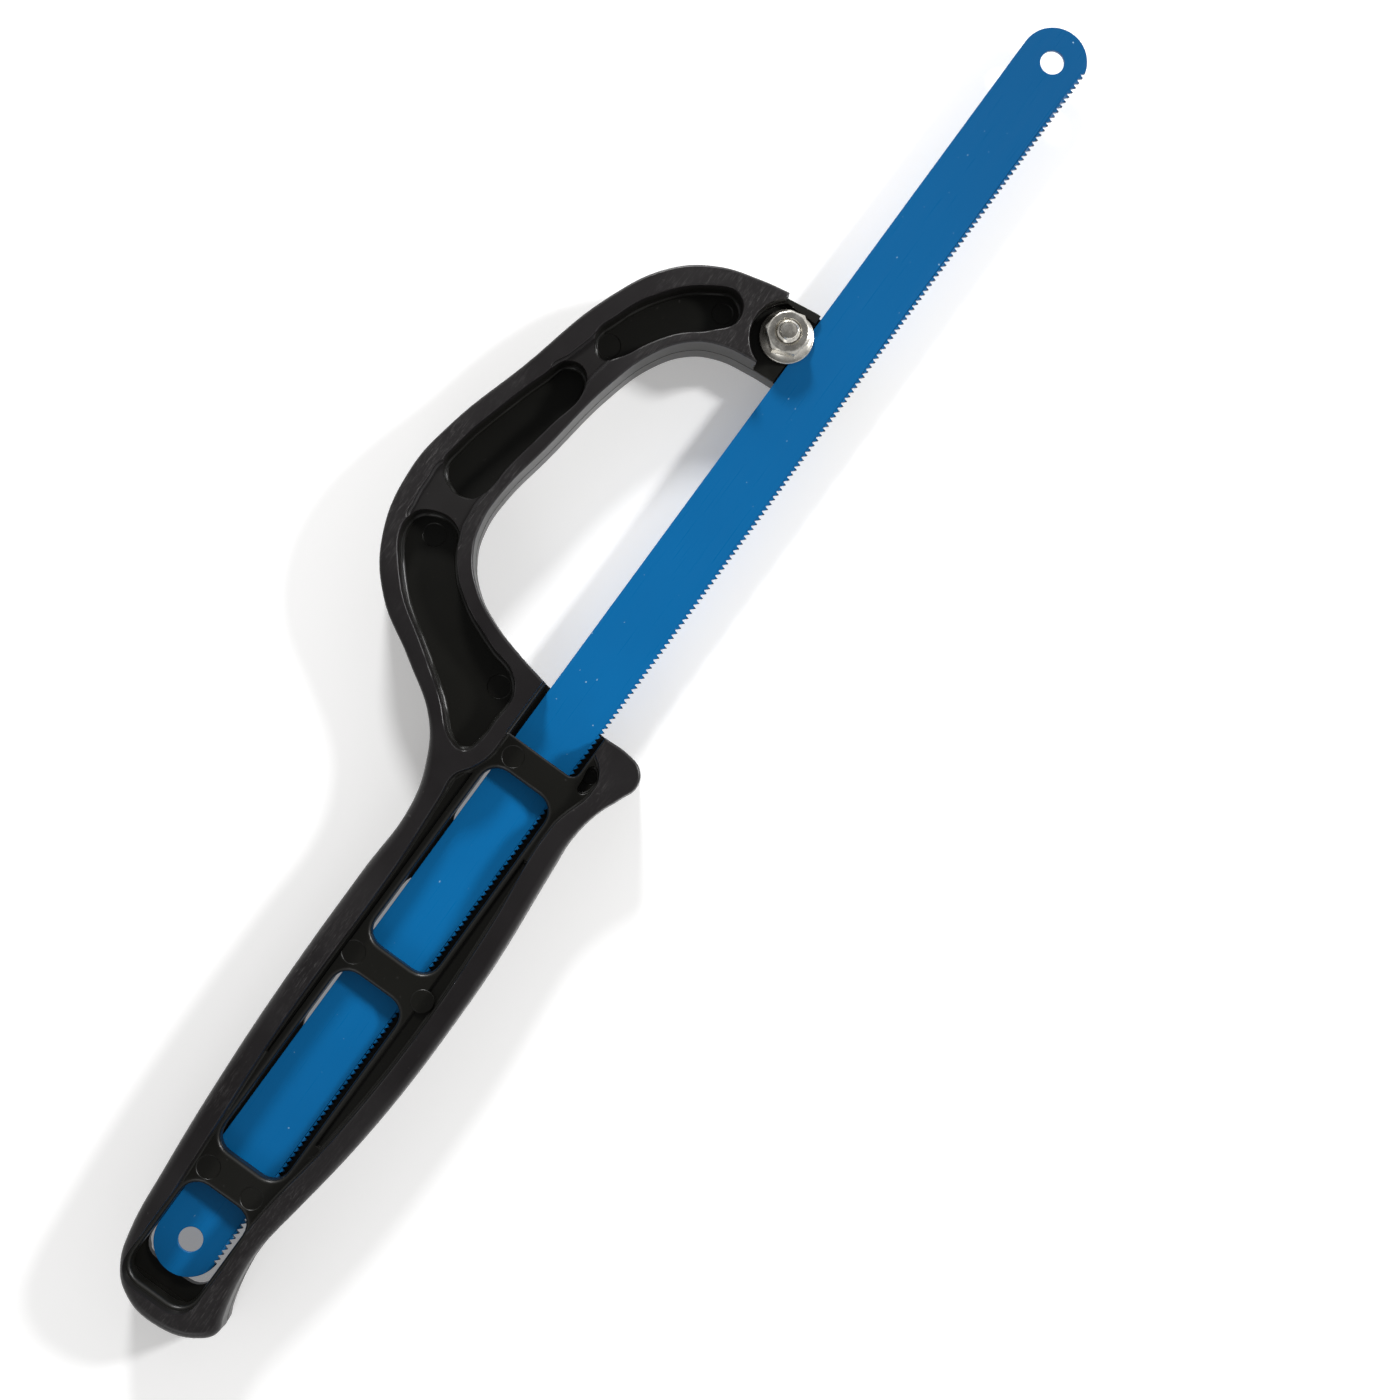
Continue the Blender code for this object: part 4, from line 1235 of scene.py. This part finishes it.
@dataclass
class Studio:
    """Floor, lights and camera."""

    floor_tone: float = 0.90
    floor_glow: float = 0.24
    floor_warmth: Point = (1.0, 0.985, 0.97)
    floor_size: float = 6.0
    sky: float = 0.70
    sky_overhead: float = 0.05
    stand: Point = (98.41, -13.76, 375.72)
    aim: Point = (123.4, -15.8, 0.0)
    roll: float = 54.0
    lens: float = 56.57
    boxes: list[Softbox] = field(default_factory=lambda: [
        Softbox("bow_side_light", 40.5, 30.0, 0.85, 0.14, 5.2),
        Softbox("teeth_side_light", -37.5, 35.0, 0.85, 0.12, 4.8),
        Softbox("grip_light", 190.0, 34.0, 0.80, 0.30, 0.5)])

    def build(self, place: Vector) -> None:
        """Set the scene round the saw, whose rear blade hole is at this place."""
        self.floor()
        self.air()
        for box in self.boxes:
            box.place(place + Vector(self.aim) * MM)
        self.camera(place)

    def floor(self) -> None:
        """A plain pale floor at the saw's underside."""
        take_up_none()
        bpy.ops.mesh.primitive_plane_add(size=self.floor_size)
        ground = bpy.context.active_object
        ground.name = "floor"
        paper = bpy.data.materials.new("pale_floor")
        paper.use_nodes = True
        shader = paper.node_tree.nodes["Principled BSDF"]
        shader.inputs["Base Color"].default_value = (*(self.floor_tone,) * 3, 1.0)
        shader.inputs["Roughness"].default_value = 0.9
        shader.inputs["Emission Color"].default_value = (*self.floor_warmth, 1.0)
        shader.inputs["Emission Strength"].default_value = self.floor_glow
        ground.data.materials.append(paper)

    def air(self) -> None:
        """Pale light from all round, dimmer straight above."""
        world = bpy.data.worlds.new("air")
        world.use_nodes = True
        tree = world.node_tree
        back = tree.nodes["Background"]
        back.inputs["Color"].default_value = (1.0, 1.0, 1.0, 1.0)
        split = tree.nodes.new("ShaderNodeSeparateXYZ")
        height = tree.nodes.new("ShaderNodeMapRange")
        for name, number in (("From Min", 0.45), ("From Max", 0.97),
                             ("To Min", self.sky), ("To Max", self.sky_overhead)):
            height.inputs[name].default_value = number
        tree.links.new(tree.nodes.new("ShaderNodeTexCoord").outputs["Generated"],
                       split.inputs["Vector"])
        tree.links.new(split.outputs["Z"], height.inputs["Value"])
        tree.links.new(height.outputs["Result"], back.inputs["Strength"])
        bpy.context.scene.world = world
        bpy.context.scene.view_settings.view_transform = "Standard"

    def camera(self, place: Vector) -> None:
        """A camera above the grip, leaning a little towards the tip."""
        data = bpy.data.cameras.new("camera")
        data.lens = self.lens
        data.sensor_width = 36.0
        data.clip_start = 0.01
        eye = bpy.data.objects.new("camera", data)
        bpy.context.scene.collection.objects.link(eye)
        stand = place + Vector(self.stand) * MM
        ahead = (place + Vector(self.aim) * MM - stand).normalized()
        lean = Vector((math.sin(math.radians(self.roll)), math.cos(math.radians(self.roll)), 0.0))
        right = ahead.cross(lean).normalized()
        up = right.cross(ahead)
        turn = Matrix((right, up, -ahead)).transposed()
        eye.matrix_world = Matrix.Translation(stand) @ turn.to_4x4()
        bpy.context.scene.camera = eye


# --- the saw ----------------------------------------------------------------------------------


@dataclass
class Hacksaw:
    """The whole saw, placed by its CAD model."""

    blade_margin: float = 6.3
    bare_teeth: float = 5.72
    # where the painted shade on the enamel starts and ends, in millimetres from the rear hole
    # along the blade
    shade_starts: float = 100.0
    shade_ends: float = 250.0

    def place(self) -> Vector:
        """The rear hole of the blade at mid height, in the row frame."""
        low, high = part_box("blade")
        return Vector((low.x + self.blade_margin * MM, (low.y + high.y) / 2,
                       (low.z + high.z) / 2))

    def nut_place(self) -> Vector:
        """The axis of the clamp at mid height, in the row frame."""
        low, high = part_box("flange_nut")
        return Vector(((low.x + high.x) / 2, (low.y + high.y) / 2, self.place().z))

    def hand_over(self, piece: bpy.types.Object, name: str, node: str, body: str,
                  finish: bpy.types.Material) -> None:
        """Name, dress and hang one finished piece.

        Args:
            piece: the finished mesh, in place.
            name: its name in the table.
            node: the CAD node that it stands for.
            body: the CAD body that it moves with.
            finish: its material.
        """
        piece.name = name
        piece.data.name = name
        dress(piece, finish)
        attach(piece, body)
        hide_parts(node)
        sides = sum(len(face.vertices) - 2 for face in piece.data.polygons)
        LOG.info("%s rides on %s: %d triangles", name, body, sides)

    def build(self) -> None:
        """Model every piece."""
        place = self.place()
        clamp = self.nut_place()
        self.hand_over(SawFrame().build(place), "moulded_frame", "frame", "frame",
                       BlackPlastic(place.z).material())
        teeth = place.y - self.bare_teeth * MM
        guard, tip = place.x + self.shade_starts * MM, place.x + self.shade_ends * MM
        self.hand_over(SawBlade().build(place), "saw_blade", "blade", "blade",
                       BlueEnamel(teeth, guard, tip).material())
        self.hand_over(ClampBolt().build(clamp), "threaded_bolt", "clamp_bolt", "bolt",
                       ZincPlate("zinc_bolt").material())
        self.hand_over(FlangeNut().build(clamp), "hexagon_nut", "flange_nut", "nut",
                       ZincPlate("zinc_nut").material())


def main() -> None:
    """Build the saw and its studio."""
    logging.basicConfig(level=logging.INFO, format="%(name)s: %(message)s")
    saw = Hacksaw()
    saw.build()
    Studio().build(saw.place())


if __name__ == "__main__":
    main()
